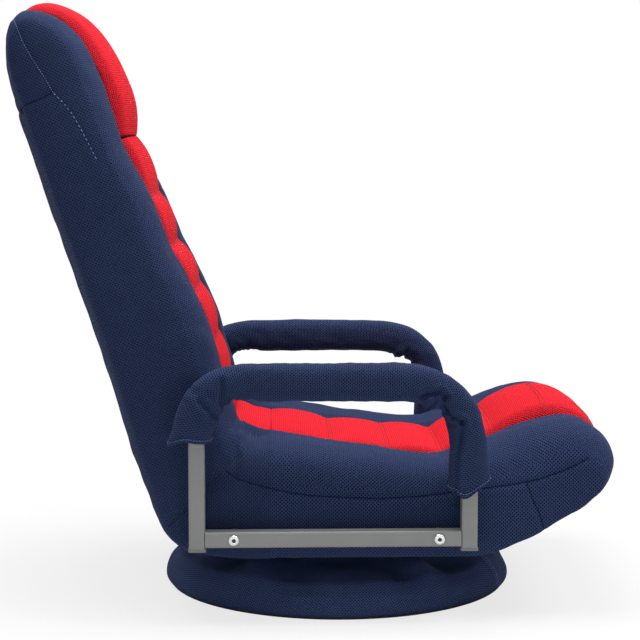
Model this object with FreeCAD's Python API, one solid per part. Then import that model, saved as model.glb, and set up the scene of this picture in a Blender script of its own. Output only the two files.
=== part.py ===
# Floor gaming chair: a padded seat and a reclining padded back on a round swivel base,
# with two padded steel armrests bolted to the sides of the seat.
# Sizes are in millimetres. The origin is on the floor, on the swivel axis.
# +Z is up, the sitter faces -Y, and the sitter's right side is -X.
import FreeCAD, Part
import math
import os

V = FreeCAD.Vector
LATERAL = V(1, 0, 0)
UP = V(0, 0, 1)

# Shared clearances
RUN = 0.05            # radial play of a shaft in its hole
SEAT_GAP = 0.3        # between a soft piece and what it rests on
FOAM_GAP = 0.5        # between foam and the steel that runs through it

# Square tube that the frames are made of
TUBE = 20.0
TUBE_WALL = 1.5
TUBE_CORNER = 3.0

# Ball-bearing swivel
SWIVEL_PLATE = 146.0
SWIVEL_PLATE_THICK = 3.0
BALL_DIAMETER = 8.0
BALL_COUNT = 16
RACE_GAP = 5.8        # between the two plates
CAGE_HALF_WIDTH = 8.0
CAGE_THICK = 1.4
SWIVEL_SCREW_MARGIN = 11.0  # from a screw's centre to the plate's side
BALL_TRACK_MARGIN = 14.0  # from a screw's centre to the ball track
SWIVEL_SCREW = 6.0
SWIVEL_HEAD = 11.0
SWIVEL_HEAD_THICK = 2.4
SWIVEL_PIN = 16.0
SWIVEL_PIN_HEAD = 28.0
SWIVEL_PIN_HEAD_THICK = 3.0
SWIVEL_SCREW_OFFSET = SWIVEL_PLATE / 2 - SWIVEL_SCREW_MARGIN
BALL_PITCH_RADIUS = SWIVEL_SCREW_OFFSET - BALL_TRACK_MARGIN

# Swivel base
BASE_RIM_RADIUS = 234.0
BASE_RIM_HEIGHT = 42.0
SHEET_SETBACK = 7.0   # of the sheet's edge from the rim
SHEET_THICK = 1.5
RING_SETBACK = 31.0   # of the ring's centre line from the rim
RING_TUBE = 22.0
RING_PAD_REACH = 21.0  # of the foam round the ring, inwards from the ring's centre line
HUB_MARGIN = 14.8     # of the hub plate round the swivel plate's corners
HUB_LAP = 10.0        # of the cover over the hub plate's edge
COVER_THICK = 2.0
LEG_TUBE = 18.0
LEG_COUNT = 4
SHEET_RADIUS = BASE_RIM_RADIUS - SHEET_SETBACK
RING_RADIUS = BASE_RIM_RADIUS - RING_SETBACK
HUB_PLATE_RADIUS = SWIVEL_PLATE / math.sqrt(2) + HUB_MARGIN
BASE_HUB_RADIUS = HUB_PLATE_RADIUS - HUB_LAP
LEG_BEND = 0.47 * (RING_RADIUS - HUB_PLATE_RADIUS)
HUB_PLATE_THICK = 3.0
HUB_PLATE_TOP = 69.0

# Seat frame
RAIL_X = 225.0        # centre of each side rail
RAIL_REAR = 172.0
RAIL_FRONT = -205.0   # centre of the front tube
RAIL_BEND = 50.0
WIRE = 5.0
SEAT_WIRE_Y = [-150.0, -105.0, 0.0, 40.0]

# Seat cushion
SEAT_BOTTOM = 79.0
SEAT_REAR = 91.0
SEAT_HALF_WIDTH = 238.0
PANEL_HALF_WIDTH = 113.0
PANEL_EDGE = 6.0      # of the bolster's rounding beside the panel
SEAT_NOSE_BOW = 6.0  # how far the middle of the front edge stands out
DUST_SHEET = 1.4

# Recline hinge
HINGE_Y = 187.0
HINGE_Z = 118.0
LEAN = 18.0           # of the back from upright, in degrees
BACK_START = 100.0    # along the back, from the hinge axis to the back cushion
PLATE = 3.0
HINGE_GAP = 0.5       # between the two plates of a hinge
SEAT_PLATE_RADIUS = 31.0
RATCHET_RADIUS = 28.0
NOTCH_DEPTH = 4.0
NOTCH_WIDTH = 7.0
NOTCH_STEP = 18.0     # degrees between lock positions
NOTCH_COUNT = 6
HINGE_PIN = 10.0
HINGE_PIN_HEAD = 18.0
HINGE_PIN_HEAD_THICK = 3.0
BACK_ARM_LENGTH = 112.0
BACK_ARM_WIDTH = 22.0
PAWL_REACH = 40.0     # from the hinge axis to the pawl's own pin
PAWL_ANGLE = -34.0
PAWL_TIP_ANGLE = 18.0
PAWL_PIN = 6.0
PAWL_EYE = 14.0
PAWL_LIFT = 0.4       # from the ratchet's crown to the tip
SPRING_WIRE = 1.2
SPRING_TURNS = 3
SPRING_PITCH = 1.6
RIVET = 6.0
RIVET_HEAD = 10.0
RIVET_HEAD_THICK = 1.8
SEAT_RIVET_Y = [118.0]
BACK_RIVET_PITCH = 36.0
BACK_RIVET_EDGE = 14.0  # from the arm's end to the nearer rivet

# Back frame
BACK_FRAME_START = 34.0
BACK_FRAME_TOP = 600.0
BACK_BEND = 70.0
BACK_WIRE_S = [170.0, 250.0, 330.0, 410.0, 490.0]

# Back cushion
BACK_HALF_WIDTH = 217.0

# Armrests
ARM_X = 255.0
ARM_REAR = 181.0
ARM_FRONT = -153.0
ARM_FOOT = 99.0
ARM_TOP = 303.5
ARM_BEND = 65.0
ARM_PAD_WIDTH = 46.5  # over the sleeve
SLEEVE_THICK = 1.6
CAP_FLANGE = 22.0
CAP_THICK = 3.0
CAP_PLUG = 14.0
ARM_BOLT_Y = [136.0, -116.0]
ARM_BOLT = 8.0
ARM_BOLT_HEAD = 13.0
ARM_BOLT_HEAD_THICK = 4.4
SOCKET = 5.0
SPACER = 18.0
NUT = 12.0
NUT_THICK = 5.0

# Rivets along the back's half of a hinge
BACK_RIVET_S = [BACK_ARM_LENGTH - BACK_RIVET_EDGE - BACK_RIVET_PITCH, BACK_ARM_LENGTH - BACK_RIVET_EDGE]

# Heights that follow from the stack of plates and tubes
LOWER_PLATE_TOP = HUB_PLATE_TOP + SWIVEL_PLATE_THICK
BALL_Z = LOWER_PLATE_TOP + RACE_GAP / 2
UPPER_PLATE_LOW = LOWER_PLATE_TOP + RACE_GAP
UPPER_PLATE_TOP = UPPER_PLATE_LOW + SWIVEL_PLATE_THICK
RAIL_Z = UPPER_PLATE_TOP + 1.5 * TUBE
RAIL_IN = RAIL_X - TUBE / 2
RAIL_OUT = RAIL_X + TUBE / 2
SEAT_PLATE_X = RAIL_IN - PLATE
BACK_PLATE_X = SEAT_PLATE_X - HINGE_GAP - PLATE
BACK_TUBE_X = BACK_PLATE_X - TUBE / 2

PARTS = "parts"
os.makedirs(PARTS, exist_ok=True)


def save(name, shape):
    """Writes one piece, or one group of like pieces."""
    solids = shape.Solids
    assert solids and all(s.isValid() and s.Volume > 0 for s in solids), name
    out = solids[0] if len(solids) == 1 else Part.makeCompound(solids)
    out.exportStep(os.path.join(PARTS, name + ".step"))
    print(f"{name}: {len(solids)} solid(s), {sum(s.Volume for s in solids) / 1000:.1f} cm3")


def group(shapes):
    return Part.makeCompound([solid for shape in shapes for solid in shape.Solids])


def mirrored(shape):
    """The same piece on the chair's other side."""
    return shape.mirror(V(0, 0, 0), LATERAL)


def save_pair(name, shape):
    """Writes the piece of the sitter's left side, which is +X, and its mirror image."""
    save(name + "_left", shape)
    save(name + "_right", mirrored(shape))


def rod(start, end, diameter):
    along = end - start
    return Part.makeCylinder(diameter / 2, along.Length, start, along)


def disc(centre, axis, diameter, thick):
    return Part.makeCylinder(diameter / 2, thick, centre, axis)


def box(low, high):
    return Part.makeBox(high.x - low.x, high.y - low.y, high.z - low.z, low)


def largest(shape):
    return max(shape.Solids, key=lambda s: s.Volume)


def cut_all(shape, tools):
    for tool in tools:
        shape = shape.cut(tool)
    return shape


def bowed(points, bulges):
    """A closed wire through the points. Each bulge is how far an arc stands out from its run."""
    edges = []
    for i, start in enumerate(points):
        end = points[(i + 1) % len(points)]
        side = LATERAL.cross(end - start)
        side.normalize()
        if abs(bulges[i]) < 0.01:
            edges.append(Part.LineSegment(start, end).toShape())
        else:
            edges.append(Part.Arc(start, (start + end) * 0.5 + side * bulges[i], end).toShape())
    return Part.Wire(edges)


def loft(wires, ruled=True):
    solid = Part.makeLoft(wires, True, ruled)
    if solid.Volume < 0:
        solid = solid.reversed()
    return solid


def bent_path(points, radius):
    """Straight runs through the points, joined by tangent arcs of one radius."""
    edges = []
    start = points[0]
    for before, corner, after in zip(points, points[1:], points[2:]):
        into = before - corner
        out = after - corner
        into.normalize()
        out.normalize()
        half = into.getAngle(out) / 2
        reach = radius / math.tan(half)
        first = corner + into * reach
        last = corner + out * reach
        bisector = into + out
        bisector.normalize()
        middle = corner + bisector * (radius / math.sin(half) - radius)
        edges.append(Part.LineSegment(start, first).toShape())
        edges.append(Part.Arc(first, middle, last).toShape())
        start = last
    edges.append(Part.LineSegment(start, points[-1]).toShape())
    return Part.Wire(edges)


def square_wire(centre, along, wide, deep, corner, side):
    """A rounded rectangle about a point, square to a direction, its width along the side given."""
    other = along.cross(side)
    other.normalize()
    mid = corner * (1 - math.sqrt(0.5))
    edges = []
    last = None
    first = None
    for a, b in [(1, 1), (-1, 1), (-1, -1), (1, -1)]:
        tip = centre + side * (a * wide / 2) + other * (b * deep / 2)
        on_side = tip - other * (b * corner)
        on_other = tip - side * (a * corner)
        bend = tip - side * (a * mid) - other * (b * mid)
        begin, finish = (on_side, on_other) if a * b > 0 else (on_other, on_side)
        if last is not None:
            edges.append(Part.LineSegment(last, begin).toShape())
        edges.append(Part.Arc(begin, bend, finish).toShape())
        first = begin if first is None else first
        last = finish
    edges.append(Part.LineSegment(last, first).toShape())
    return Part.Wire(edges)


def square_bar(points, bend, size=TUBE, corner=TUBE_CORNER, normal=LATERAL):
    """The space that a bent square tube takes up. The normal is square to the plane of its bends."""
    path = bent_path(points, bend)
    along = points[1] - points[0]
    along.normalize()
    section = square_wire(points[0], along, size, size, corner, normal)
    return path.makePipeShell([section], True, False)


def square_tube(points, bend, normal=LATERAL):
    """A bent square tube with an open bore."""
    inner = square_bar(points, bend, TUBE - 2 * TUBE_WALL, TUBE_CORNER - TUBE_WALL, normal)
    return square_bar(points, bend, normal=normal).cut(inner)


def straight_bar(start, end, size=TUBE, corner=TUBE_CORNER):
    along = end - start
    reach = V(along)
    along.normalize()
    side = UP if abs(along.z) < 0.9 else LATERAL
    return Part.Face(square_wire(start, along, size, size, corner, side)).extrude(reach)


def straight_tube(start, end):
    inner = straight_bar(start, end, TUBE - 2 * TUBE_WALL, TUBE_CORNER - TUBE_WALL)
    return straight_bar(start, end).cut(inner)


def round_bar(points, bend, diameter):
    path = bent_path(points, bend)
    circle = Part.Wire(Part.Circle(points[0], points[1] - points[0], diameter / 2).toShape())
    return path.makePipeShell([circle], True, False)


# The back has its own directions: s runs up along it from the hinge axis, d stands out to its front.
LEAN_SIN = math.sin(math.radians(LEAN))
LEAN_COS = math.cos(math.radians(LEAN))


def on_back(x, s, d):
    return V(x, HINGE_Y + s * LEAN_SIN - d * LEAN_COS, HINGE_Z + s * LEAN_COS + d * LEAN_SIN)


def polar(x, radius, degrees):
    """A point about the hinge axis. 0 degrees is forwards and 90 is up."""
    angle = math.radians(degrees)
    return V(x, HINGE_Y - radius * math.cos(angle), HINGE_Z + radius * math.sin(angle))


# Swivel base

def revolved(points, bulges):
    """A solid of revolution from a closed outline of (radius, height) points."""
    wire = bowed([V(0, radius, height) for radius, height in points], bulges)
    solid = Part.Face(wire).revolve(V(0, 0, 0), UP, 360)
    return solid if solid.Volume > 0 else solid.reversed()


def base_cover_line(inset):
    """The cover's line, moved inwards by the inset, from the hub over the rim to the floor."""
    hub = HUB_PLATE_TOP + SEAT_GAP + COVER_THICK - inset
    crest = BASE_RIM_HEIGHT - inset
    rim = BASE_RIM_RADIUS - inset
    return [
        (BASE_HUB_RADIUS, hub),
        (HUB_PLATE_RADIUS + 3, hub),
        (BASE_RIM_RADIUS - 62, crest + 9),
        (BASE_RIM_RADIUS - 30, crest),
        (rim, BASE_RIM_HEIGHT * 0.42),
        (rim - 9, SHEET_THICK),
    ]


def base_cover():
    bows = [0.0, -2.5, 1.5, 9.0, 1.5]
    inner_bows = [-bow for bow in reversed(bows)]
    points = base_cover_line(0) + base_cover_line(COVER_THICK)[::-1]
    return revolved(points, bows + [0] + inner_bows + [0])


RING_Z = SHEET_THICK + SEAT_GAP + RING_TUBE / 2


def ring_space(extra=0.0):
    return Part.makeTorus(RING_RADIUS, RING_TUBE / 2 + extra, V(0, 0, RING_Z))


def base_ring():
    return ring_space().cut(ring_space(-TUBE_WALL))


def leg_points(turn):
    """One leg rises from the ring and lies flat beneath the hub plate."""
    flat = HUB_PLATE_TOP - HUB_PLATE_THICK - LEG_TUBE / 2
    spots = [(RING_RADIUS - 2, RING_Z + 2), (RING_RADIUS - LEG_BEND, RING_Z + 8), (HUB_PLATE_RADIUS - 4, flat),
             (26, flat)]
    return [V(r * math.cos(turn), r * math.sin(turn), z) for r, z in spots]


def leg_bar(turn, diameter):
    return round_bar(leg_points(turn), LEG_BEND, diameter)


def leg_turns():
    return [2 * math.pi * (i + 0.5) / LEG_COUNT for i in range(LEG_COUNT)]


def base_legs():
    made = []
    for turn in leg_turns():
        leg = leg_bar(turn, LEG_TUBE).cut(leg_bar(turn, LEG_TUBE - 2 * TUBE_WALL))
        made.append(largest(leg.cut(ring_space())))
    return group(made)


def base_ring_pad():
    """Foam round the steel ring, under the cover's rim."""
    inset = COVER_THICK + SEAT_GAP
    _, _, _, crest, rim, _ = base_cover_line(inset)
    low = SHEET_THICK + SEAT_GAP
    inner = RING_RADIUS - RING_PAD_REACH
    points = [(inner, crest[1] - 4), crest, rim, (rim[0] - 9, low), (inner, low)]
    pad = revolved(points, [1.0, 8.0, 1.2, 0, 0]).cut(ring_space(FOAM_GAP))
    return largest(cut_all(pad, [leg_bar(turn, LEG_TUBE + 2 * FOAM_GAP) for turn in leg_turns()]))


def screw_spots():
    signs = [(1, 1), (-1, 1), (-1, -1), (1, -1)]
    return [V(a * SWIVEL_SCREW_OFFSET, b * SWIVEL_SCREW_OFFSET, 0) for a, b in signs]


def upright_holes(spots, diameter, height=400.0):
    return [disc(spot, UP, diameter, height) for spot in spots]


def hub_plate():
    plate = disc(V(0, 0, HUB_PLATE_TOP - HUB_PLATE_THICK), UP, 2 * HUB_PLATE_RADIUS, HUB_PLATE_THICK)
    plate = cut_all(plate, upright_holes(lower_screw_spots(), SWIVEL_SCREW))
    return plate.cut(disc(V(0, 0, 0), UP, SWIVEL_PIN, 200))


def lower_screw_spots():
    """The lower plate's screws are turned an eighth from the upper plate's."""
    reach = SWIVEL_SCREW_OFFSET
    return [V(reach, 0, 0), V(0, reach, 0), V(-reach, 0, 0), V(0, -reach, 0)]


def swivel_plate(low, spots, hole):
    """A square plate with a ball groove, rounded corners and four screw holes."""
    half = SWIVEL_PLATE / 2
    plate = box(V(-half, -half, low), V(half, half, low + SWIVEL_PLATE_THICK))
    upright = [e for e in plate.Edges if abs(e.tangentAt(e.FirstParameter).z) > 0.9]
    plate = plate.makeFillet(10, upright)
    plate = plate.cut(Part.makeTorus(BALL_PITCH_RADIUS, BALL_DIAMETER / 2 + RUN, V(0, 0, BALL_Z)))
    plate = cut_all(plate, upright_holes(spots, SWIVEL_SCREW))
    return plate.cut(disc(V(0, 0, 0), UP, hole, 200))


def ball_spots():
    turns = [2 * math.pi * i / BALL_COUNT for i in range(BALL_COUNT)]
    return [V(BALL_PITCH_RADIUS * math.cos(t), BALL_PITCH_RADIUS * math.sin(t), BALL_Z) for t in turns]


def ball_cage():
    low = V(0, 0, BALL_Z - CAGE_THICK / 2)
    cage = disc(low, UP, 2 * (BALL_PITCH_RADIUS + CAGE_HALF_WIDTH), CAGE_THICK)
    cage = cage.cut(disc(low, UP, 2 * (BALL_PITCH_RADIUS - CAGE_HALF_WIDTH), CAGE_THICK))
    holes = upright_holes([V(spot.x, spot.y, 0) for spot in ball_spots()], BALL_DIAMETER + 2 * RUN)
    return cut_all(cage, holes)


def balls():
    return group([Part.makeSphere(BALL_DIAMETER / 2, spot) for spot in ball_spots()])


def swivel_pin():
    """A rivet that keeps the upper plate from lifting off."""
    low = HUB_PLATE_TOP - HUB_PLATE_THICK
    head_low = UPPER_PLATE_TOP + SEAT_GAP
    foot = disc(V(0, 0, low - SWIVEL_PIN_HEAD_THICK), UP, SWIVEL_PIN_HEAD, SWIVEL_PIN_HEAD_THICK)
    shaft = disc(V(0, 0, low - 1), UP, SWIVEL_PIN, head_low - low + 2)
    head = disc(V(0, 0, head_low), UP, SWIVEL_PIN_HEAD, SWIVEL_PIN_HEAD_THICK)
    return foot.fuse([shaft, head]).removeSplitter()


def lower_screws():
    """Screws through the lower plate and the hub plate."""
    made = []
    low = HUB_PLATE_TOP - HUB_PLATE_THICK
    for spot in lower_screw_spots():
        head = disc(spot + UP * LOWER_PLATE_TOP, UP, SWIVEL_HEAD, SWIVEL_HEAD_THICK)
        shank = disc(spot + UP * low, UP, SWIVEL_SCREW, LOWER_PLATE_TOP - low)
        made.append(head.fuse(shank).removeSplitter())
    return group(made)


def upper_screws():
    """Screws up through the upper plate into the cross bars."""
    made = []
    for spot in screw_spots():
        head = disc(spot + UP * (UPPER_PLATE_LOW - SWIVEL_HEAD_THICK), UP, SWIVEL_HEAD, SWIVEL_HEAD_THICK)
        shank = disc(spot + UP * UPPER_PLATE_LOW, UP, SWIVEL_SCREW, SWIVEL_PLATE_THICK + TUBE / 2)
        made.append(head.fuse(shank).removeSplitter())
    return group(made)


# Seat frame

def seat_frame_points():
    return [
        V(-RAIL_X, RAIL_REAR, RAIL_Z),
        V(-RAIL_X, RAIL_FRONT, RAIL_Z),
        V(RAIL_X, RAIL_FRONT, RAIL_Z),
        V(RAIL_X, RAIL_REAR, RAIL_Z),
    ]


def both_sides(shapes):
    return shapes + [mirrored(shape) for shape in shapes]


def arm_bolt_spaces(start, end, diameter):
    """Round spaces along the armrest bolts, from one distance off the middle to another."""
    return both_sides([rod(V(start, y, RAIL_Z), V(end, y, RAIL_Z), diameter) for y in ARM_BOLT_Y])


def seat_rivet_spaces(start, end, diameter):
    return both_sides([rod(V(start, y, RAIL_Z), V(end, y, RAIL_Z), diameter) for y in SEAT_RIVET_Y])


NUT_LOW = RAIL_IN - 1.0


def seat_frame():
    frame = square_tube(seat_frame_points(), RAIL_BEND, UP)
    frame = cut_all(frame, arm_bolt_spaces(RAIL_X, RAIL_OUT + 1, ARM_BOLT))
    frame = cut_all(frame, arm_bolt_spaces(NUT_LOW, RAIL_X, NUT))
    return cut_all(frame, seat_rivet_spaces(NUT_LOW, RAIL_X, RIVET))


def cross_bar_ends(sign):
    y = sign * SWIVEL_SCREW_OFFSET
    z = UPPER_PLATE_TOP + TUBE / 2
    reach = RAIL_OUT - 3
    return V(-reach, y, z), V(reach, y, z)


def cross_bars():
    made = []
    for sign in (1, -1):
        start, end = cross_bar_ends(sign)
        holes = upright_holes(screw_spots(), SWIVEL_SCREW, UPPER_PLATE_TOP + TUBE / 2)
        made.append(cut_all(straight_tube(start, end), holes))
    return group(made)


def seat_wires(extra=0.0):
    """Steel wires laid across the rails, under the foam."""
    z = RAIL_Z + (TUBE + WIRE) / 2
    return group([rod(V(-RAIL_X, y, z), V(RAIL_X, y, z), WIRE + extra) for y in SEAT_WIRE_Y])


# Cushions. Each is a loft across the chair, through side outlines of lines and arcs.

def drawn(point, anchor, share):
    """The point, drawn in towards its anchor."""
    return (anchor[0] + (point[0] - anchor[0]) * share, anchor[1] + (point[1] - anchor[1]) * share)


def across(outline, stations):
    """A loft through outlines from one side to the middle, and mirrored to the other side.
    Each station starts with its distance from the middle."""
    left = [outline(-station[0], *station[1:]) for station in stations]
    right = [mirrored(wire) for wire in reversed(left[:-1])]
    return loft(left + right)


# (y, z) of the seat's side outline
SEAT_UNDER_LINE = [(SEAT_REAR, SEAT_BOTTOM), (-187, SEAT_BOTTOM), (-319, 154), (-336, 195)]
SEAT_UNDER_BOWS = [0.0, 5.0, 5.0, 4.0]
SEAT_TOP_LINE = [(-322, 229), (-288, 246), (-204, 222), (-127, 201), (-50, 199), (33, 209), (SEAT_REAR, 219)]
SEAT_TOP_BOWS = [3.5, 4.5, -2.0, -2.0, -1.5, -0.6, 0.0]
# the same points where the channelled pad lies
SEAT_RECESS_LINE = [(-312, 220), (-284, 233), (-204, 209), (-127, 188), (-50, 186), (33, 196), (SEAT_REAR, 205)]
SEAT_PAD_FOOT = (-320, 195)
NOSE_BACK = -284      # the nose is forward of this
NOSE_ANCHOR = (-284, 188)
SEAT_MID_HEIGHT = 128.0

# distance from the middle, share of the top kept, share of the underside kept
SEAT_SIDES = [(238, 0.24, 0.55), (234, 0.45, 0.84), (223, 0.70, 0.96), (205, 0.89, 1.0), (180, 0.97, 1.0),
              (150, 1.0, 1.0), (PANEL_HALF_WIDTH + PANEL_EDGE, 0.985, 1.0)]
PAD_STATIONS = [(1.0, 0.30), (0.94, 0.52), (0.80, 0.76), (0.52, 0.94), (0.0, 1.0)]


def nose_shift(x):
    return SEAT_NOSE_BOW * (1 - (x / SEAT_HALF_WIDTH) ** 2)


def on_seat(x, point):
    """A point of the seat's outline, with the nose standing further out towards the middle."""
    y, z = point
    return V(x, y - (nose_shift(x) if y <= NOSE_BACK else 0), z)


def seat_outline(x, top_share, under_share):
    points = []
    for line, share in ((SEAT_UNDER_LINE, under_share), (SEAT_TOP_LINE, top_share)):
        for point in line:
            anchor = NOSE_ANCHOR if point[0] < NOSE_BACK else (point[0], SEAT_MID_HEIGHT)
            points.append(on_seat(x, drawn(point, anchor, max(share, 0.6) if anchor == NOSE_ANCHOR else share)))
    return bowed(points, SEAT_UNDER_BOWS + SEAT_TOP_BOWS)


def seat_recess_outline(x, *_):
    points = [on_seat(x, p) for p in SEAT_UNDER_LINE[:-1] + [SEAT_PAD_FOOT] + SEAT_RECESS_LINE]
    bows = SEAT_UNDER_BOWS[:2] + [0.0, 0.0] + [0.0] * len(SEAT_RECESS_LINE)
    return bowed(points, bows)


def seat_foam():
    def outline(x, top_share, under_share):
        if abs(x) <= PANEL_HALF_WIDTH:
            return seat_recess_outline(x)
        return seat_outline(x, top_share, under_share)

    inner = [(PANEL_HALF_WIDTH * w, 1.0, 1.0) for w, _ in PAD_STATIONS]
    return across(outline, SEAT_SIDES + inner)


# (y, z) of each seam of the seat pad, how far the channel after it is crowned, and (y, z) of the
# foot on the recess that the seam is drawn towards at the pad's sides
SEAT_SEAMS = [
    ((-338, 186), 4.5, (-323, 190)),
    ((-329, 230), 5.0, (-316, 223)),
    ((-267, 251), 6.0, (-267, 232)),
    ((-200, 227), 5.5, (-200, 212)),
    ((-133, 199), 5.5, (-133, 192)),
    ((-63, 197), 5.5, (-63, 189)),
    ((11, 206), 5.5, (11, 196)),
    ((SEAT_REAR, 220), 0.0, (SEAT_REAR, 208)),
]


def base_height(line, y):
    """The height of a line of (y, z) points, which runs backwards, at any place along it."""
    for (a, ha), (b, hb) in zip(line, line[1:]):
        if a <= y <= b:
            return ha + (hb - ha) * (y - a) / (b - a)
    return line[0][1] if y < line[0][0] else line[-1][1]


def seat_pad():
    """The channelled pad, which lies in the seat foam's recess."""
    base = [(y - (0.3 if y < -300 else 0), z + SEAT_GAP) for y, z in [SEAT_PAD_FOOT] + SEAT_RECESS_LINE]

    def outline(x, share):
        points = [on_seat(x, point) for point in reversed(base)]
        bows = [0.0] * len(base)
        for seam, crown, foot in SEAT_SEAMS:
            points.append(on_seat(x, drawn(seam, foot, share)))
            bows.append(crown * (0.35 + 0.65 * share))
        bows[-1] = 0.0
        return bowed(points, bows)

    return across(outline, [(PANEL_HALF_WIDTH * w - (0.4 if w == 1.0 else 0), share) for w, share in PAD_STATIONS])


def swivel_pocket():
    """Room in the seat's underside for the swivel's plate, screws and pin."""
    half = SWIVEL_PLATE / 2 + 4
    return box(V(-half, -half, SEAT_BOTTOM - 10), V(half, half, UPPER_PLATE_TOP + SWIVEL_PIN_HEAD_THICK + 6))


def seat_steel_space():
    """Everything steel that the seat's foam is moulded round."""
    shapes = [square_bar(seat_frame_points(), RAIL_BEND, TUBE + 2 * FOAM_GAP, TUBE_CORNER, UP)]
    for sign in (1, -1):
        start, end = cross_bar_ends(sign)
        side = TUBE / 2 + FOAM_GAP
        low = V(start.x - 2, start.y - side, SEAT_BOTTOM - 5)
        shapes.append(box(low, V(end.x + 2, start.y + side, start.z + side)))
    shapes += seat_wires(2 * FOAM_GAP).Solids
    shapes += arm_bolt_spaces(RAIL_OUT - 1, RAIL_OUT + 20, SPACER + 2 * FOAM_GAP)
    shapes += arm_bolt_spaces(NUT_LOW - NUT_THICK - 1, RAIL_IN + 1, NUT + 2 * FOAM_GAP + 4)
    return shapes


def seat_cushion():
    return largest(cut_all(seat_foam(), [swivel_pocket()] + seat_steel_space()))


def dust_cover():
    """Thin cloth that closes the seat's underside, round the swivel."""
    top = SEAT_BOTTOM - SEAT_GAP
    sheet = box(V(-176, -178, top - DUST_SHEET), V(176, SEAT_REAR - 4, top))
    half = SWIVEL_PLATE / 2 + 6
    return sheet.cut(box(V(-half, -half, 0), V(half, half, 200)))


# Armrests

def arm_frame_points():
    return [V(ARM_X, ARM_REAR, ARM_FOOT), V(ARM_X, ARM_REAR, ARM_TOP), V(ARM_X, ARM_FRONT, ARM_TOP),
            V(ARM_X, ARM_FRONT, ARM_FOOT)]


def arm_frame():
    """One bent tube with a straight bar welded between its legs."""
    loop = square_tube(arm_frame_points(), ARM_BEND)
    bar = straight_tube(V(ARM_X, ARM_FRONT, RAIL_Z), V(ARM_X, ARM_REAR, RAIL_Z))
    bar = largest(bar.common(box(V(0, ARM_FRONT + TUBE / 2, 0), V(400, ARM_REAR - TUBE / 2, 400))))
    frame = loop.fuse(bar)
    return largest(cut_all(frame, arm_bolt_spaces(RAIL_OUT, ARM_X + TUBE, ARM_BOLT)))


def arm_caps():
    """Plugs that close the lower ends of the armrest tube."""
    made = []
    bore = TUBE - 2 * TUBE_WALL
    for y in (ARM_REAR, ARM_FRONT):
        spot = V(ARM_X, y, ARM_FOOT - CAP_THICK)
        flange = straight_bar(spot, spot + UP * CAP_THICK, CAP_FLANGE, 3.5)
        plug = straight_bar(spot + UP, spot + UP * (CAP_THICK + CAP_PLUG), bore, TUBE_CORNER - TUBE_WALL)
        made.append(flange.fuse(plug).removeSplitter())
    return group(made)


# The padded armrest's sections: (y, z, heading in degrees, depth across the tube)
# The heading runs from 90, up the rear leg, through 180, forwards, to 270, down the front leg.
ARM_SECTIONS = [
    (183.0, 238.0, 90.0, 63.0),
    (179.0, 262.0, 97.0, 53.0),
    (169.0, 281.0, 118.0, 47.0),
    (149.0, 297.0, 148.0, 46.0),
    (116.0, 303.5, 180.0, 46.5),
    (-20.0, 303.5, 180.0, 47.0),
    (-82.0, 303.5, 180.0, 46.5),
    (-115.0, 296.0, 210.0, 45.5),
    (-139.0, 275.0, 238.0, 45.5),
    (-149.5, 249.0, 262.0, 46.0),
    (-152.0, 212.0, 270.0, 48.0),
    (-153.0, 172.0, 270.0, 52.0),
]


def arm_loft(inset, shorten):
    """The padded armrest's form, made smaller by an inset all round and shorter at both hems."""
    wires = []
    last = len(ARM_SECTIONS) - 1
    for i, (y, z, heading, depth) in enumerate(ARM_SECTIONS):
        angle = math.radians(heading)
        along = V(0, math.cos(angle), math.sin(angle))
        at = V(ARM_X, y, z)
        if i == 0:
            at = at + along * shorten
        if i == last:
            at = at - along * shorten
        wires.append(square_wire(at, along, ARM_PAD_WIDTH - 2 * inset, depth - 2 * inset, 17 - inset, LATERAL))
    return loft(wires, False)


def arm_foam():
    space = square_bar(arm_frame_points(), ARM_BEND, TUBE + 2 * SEAT_GAP)
    return largest(arm_loft(SLEEVE_THICK + 3 * SEAT_GAP, 5).cut(space))


def arm_sleeve():
    """The cloth sleeve over the foam, open at both hems."""
    return largest(arm_loft(0, 0).cut(arm_loft(SLEEVE_THICK, -1)))


def arm_bolts():
    """Button-head bolts with a hexagon recess, through armrest, spacer and rail."""
    made = []
    face = ARM_X + TUBE / 2
    for y in ARM_BOLT_Y:
        head = disc(V(face, y, RAIL_Z), LATERAL, ARM_BOLT_HEAD, ARM_BOLT_HEAD_THICK)
        rim = [e for e in head.Edges if abs(e.CenterOfMass.x - face - ARM_BOLT_HEAD_THICK) < 0.1]
        head = head.makeFillet(2.6, rim)
        corners = [V(face + 2, y + SOCKET / math.sqrt(3) * math.cos(a), RAIL_Z + SOCKET / math.sqrt(3) * math.sin(a))
                   for a in [math.radians(60 * i) for i in range(7)]]
        head = head.cut(Part.Face(Part.makePolygon(corners)).extrude(V(10, 0, 0)))
        shank = rod(V(NUT_LOW - NUT_THICK + 1, y, RAIL_Z), V(face + 0.5, y, RAIL_Z), ARM_BOLT)
        made.append(head.fuse(shank).removeSplitter())
    return group(made)


def arm_spacers():
    """Short collars that keep the armrest clear of the seat's side."""
    made = []
    for y in ARM_BOLT_Y:
        collar = rod(V(RAIL_OUT, y, RAIL_Z), V(ARM_X - TUBE / 2, y, RAIL_Z), SPACER)
        made.append(collar.cut(rod(V(0, y, RAIL_Z), V(ARM_X, y, RAIL_Z), ARM_BOLT)))
    return group(made)


def rail_inserts():
    """Threaded inserts in the inner walls of the rails."""
    made = []
    for y in ARM_BOLT_Y:
        barrel = rod(V(NUT_LOW - NUT_THICK, y, RAIL_Z), V(RAIL_IN + TUBE_WALL, y, RAIL_Z), NUT)
        made.append(barrel.cut(rod(V(0, y, RAIL_Z), V(ARM_X, y, RAIL_Z), ARM_BOLT)))
    return group(made)


# Recline hinges

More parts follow.
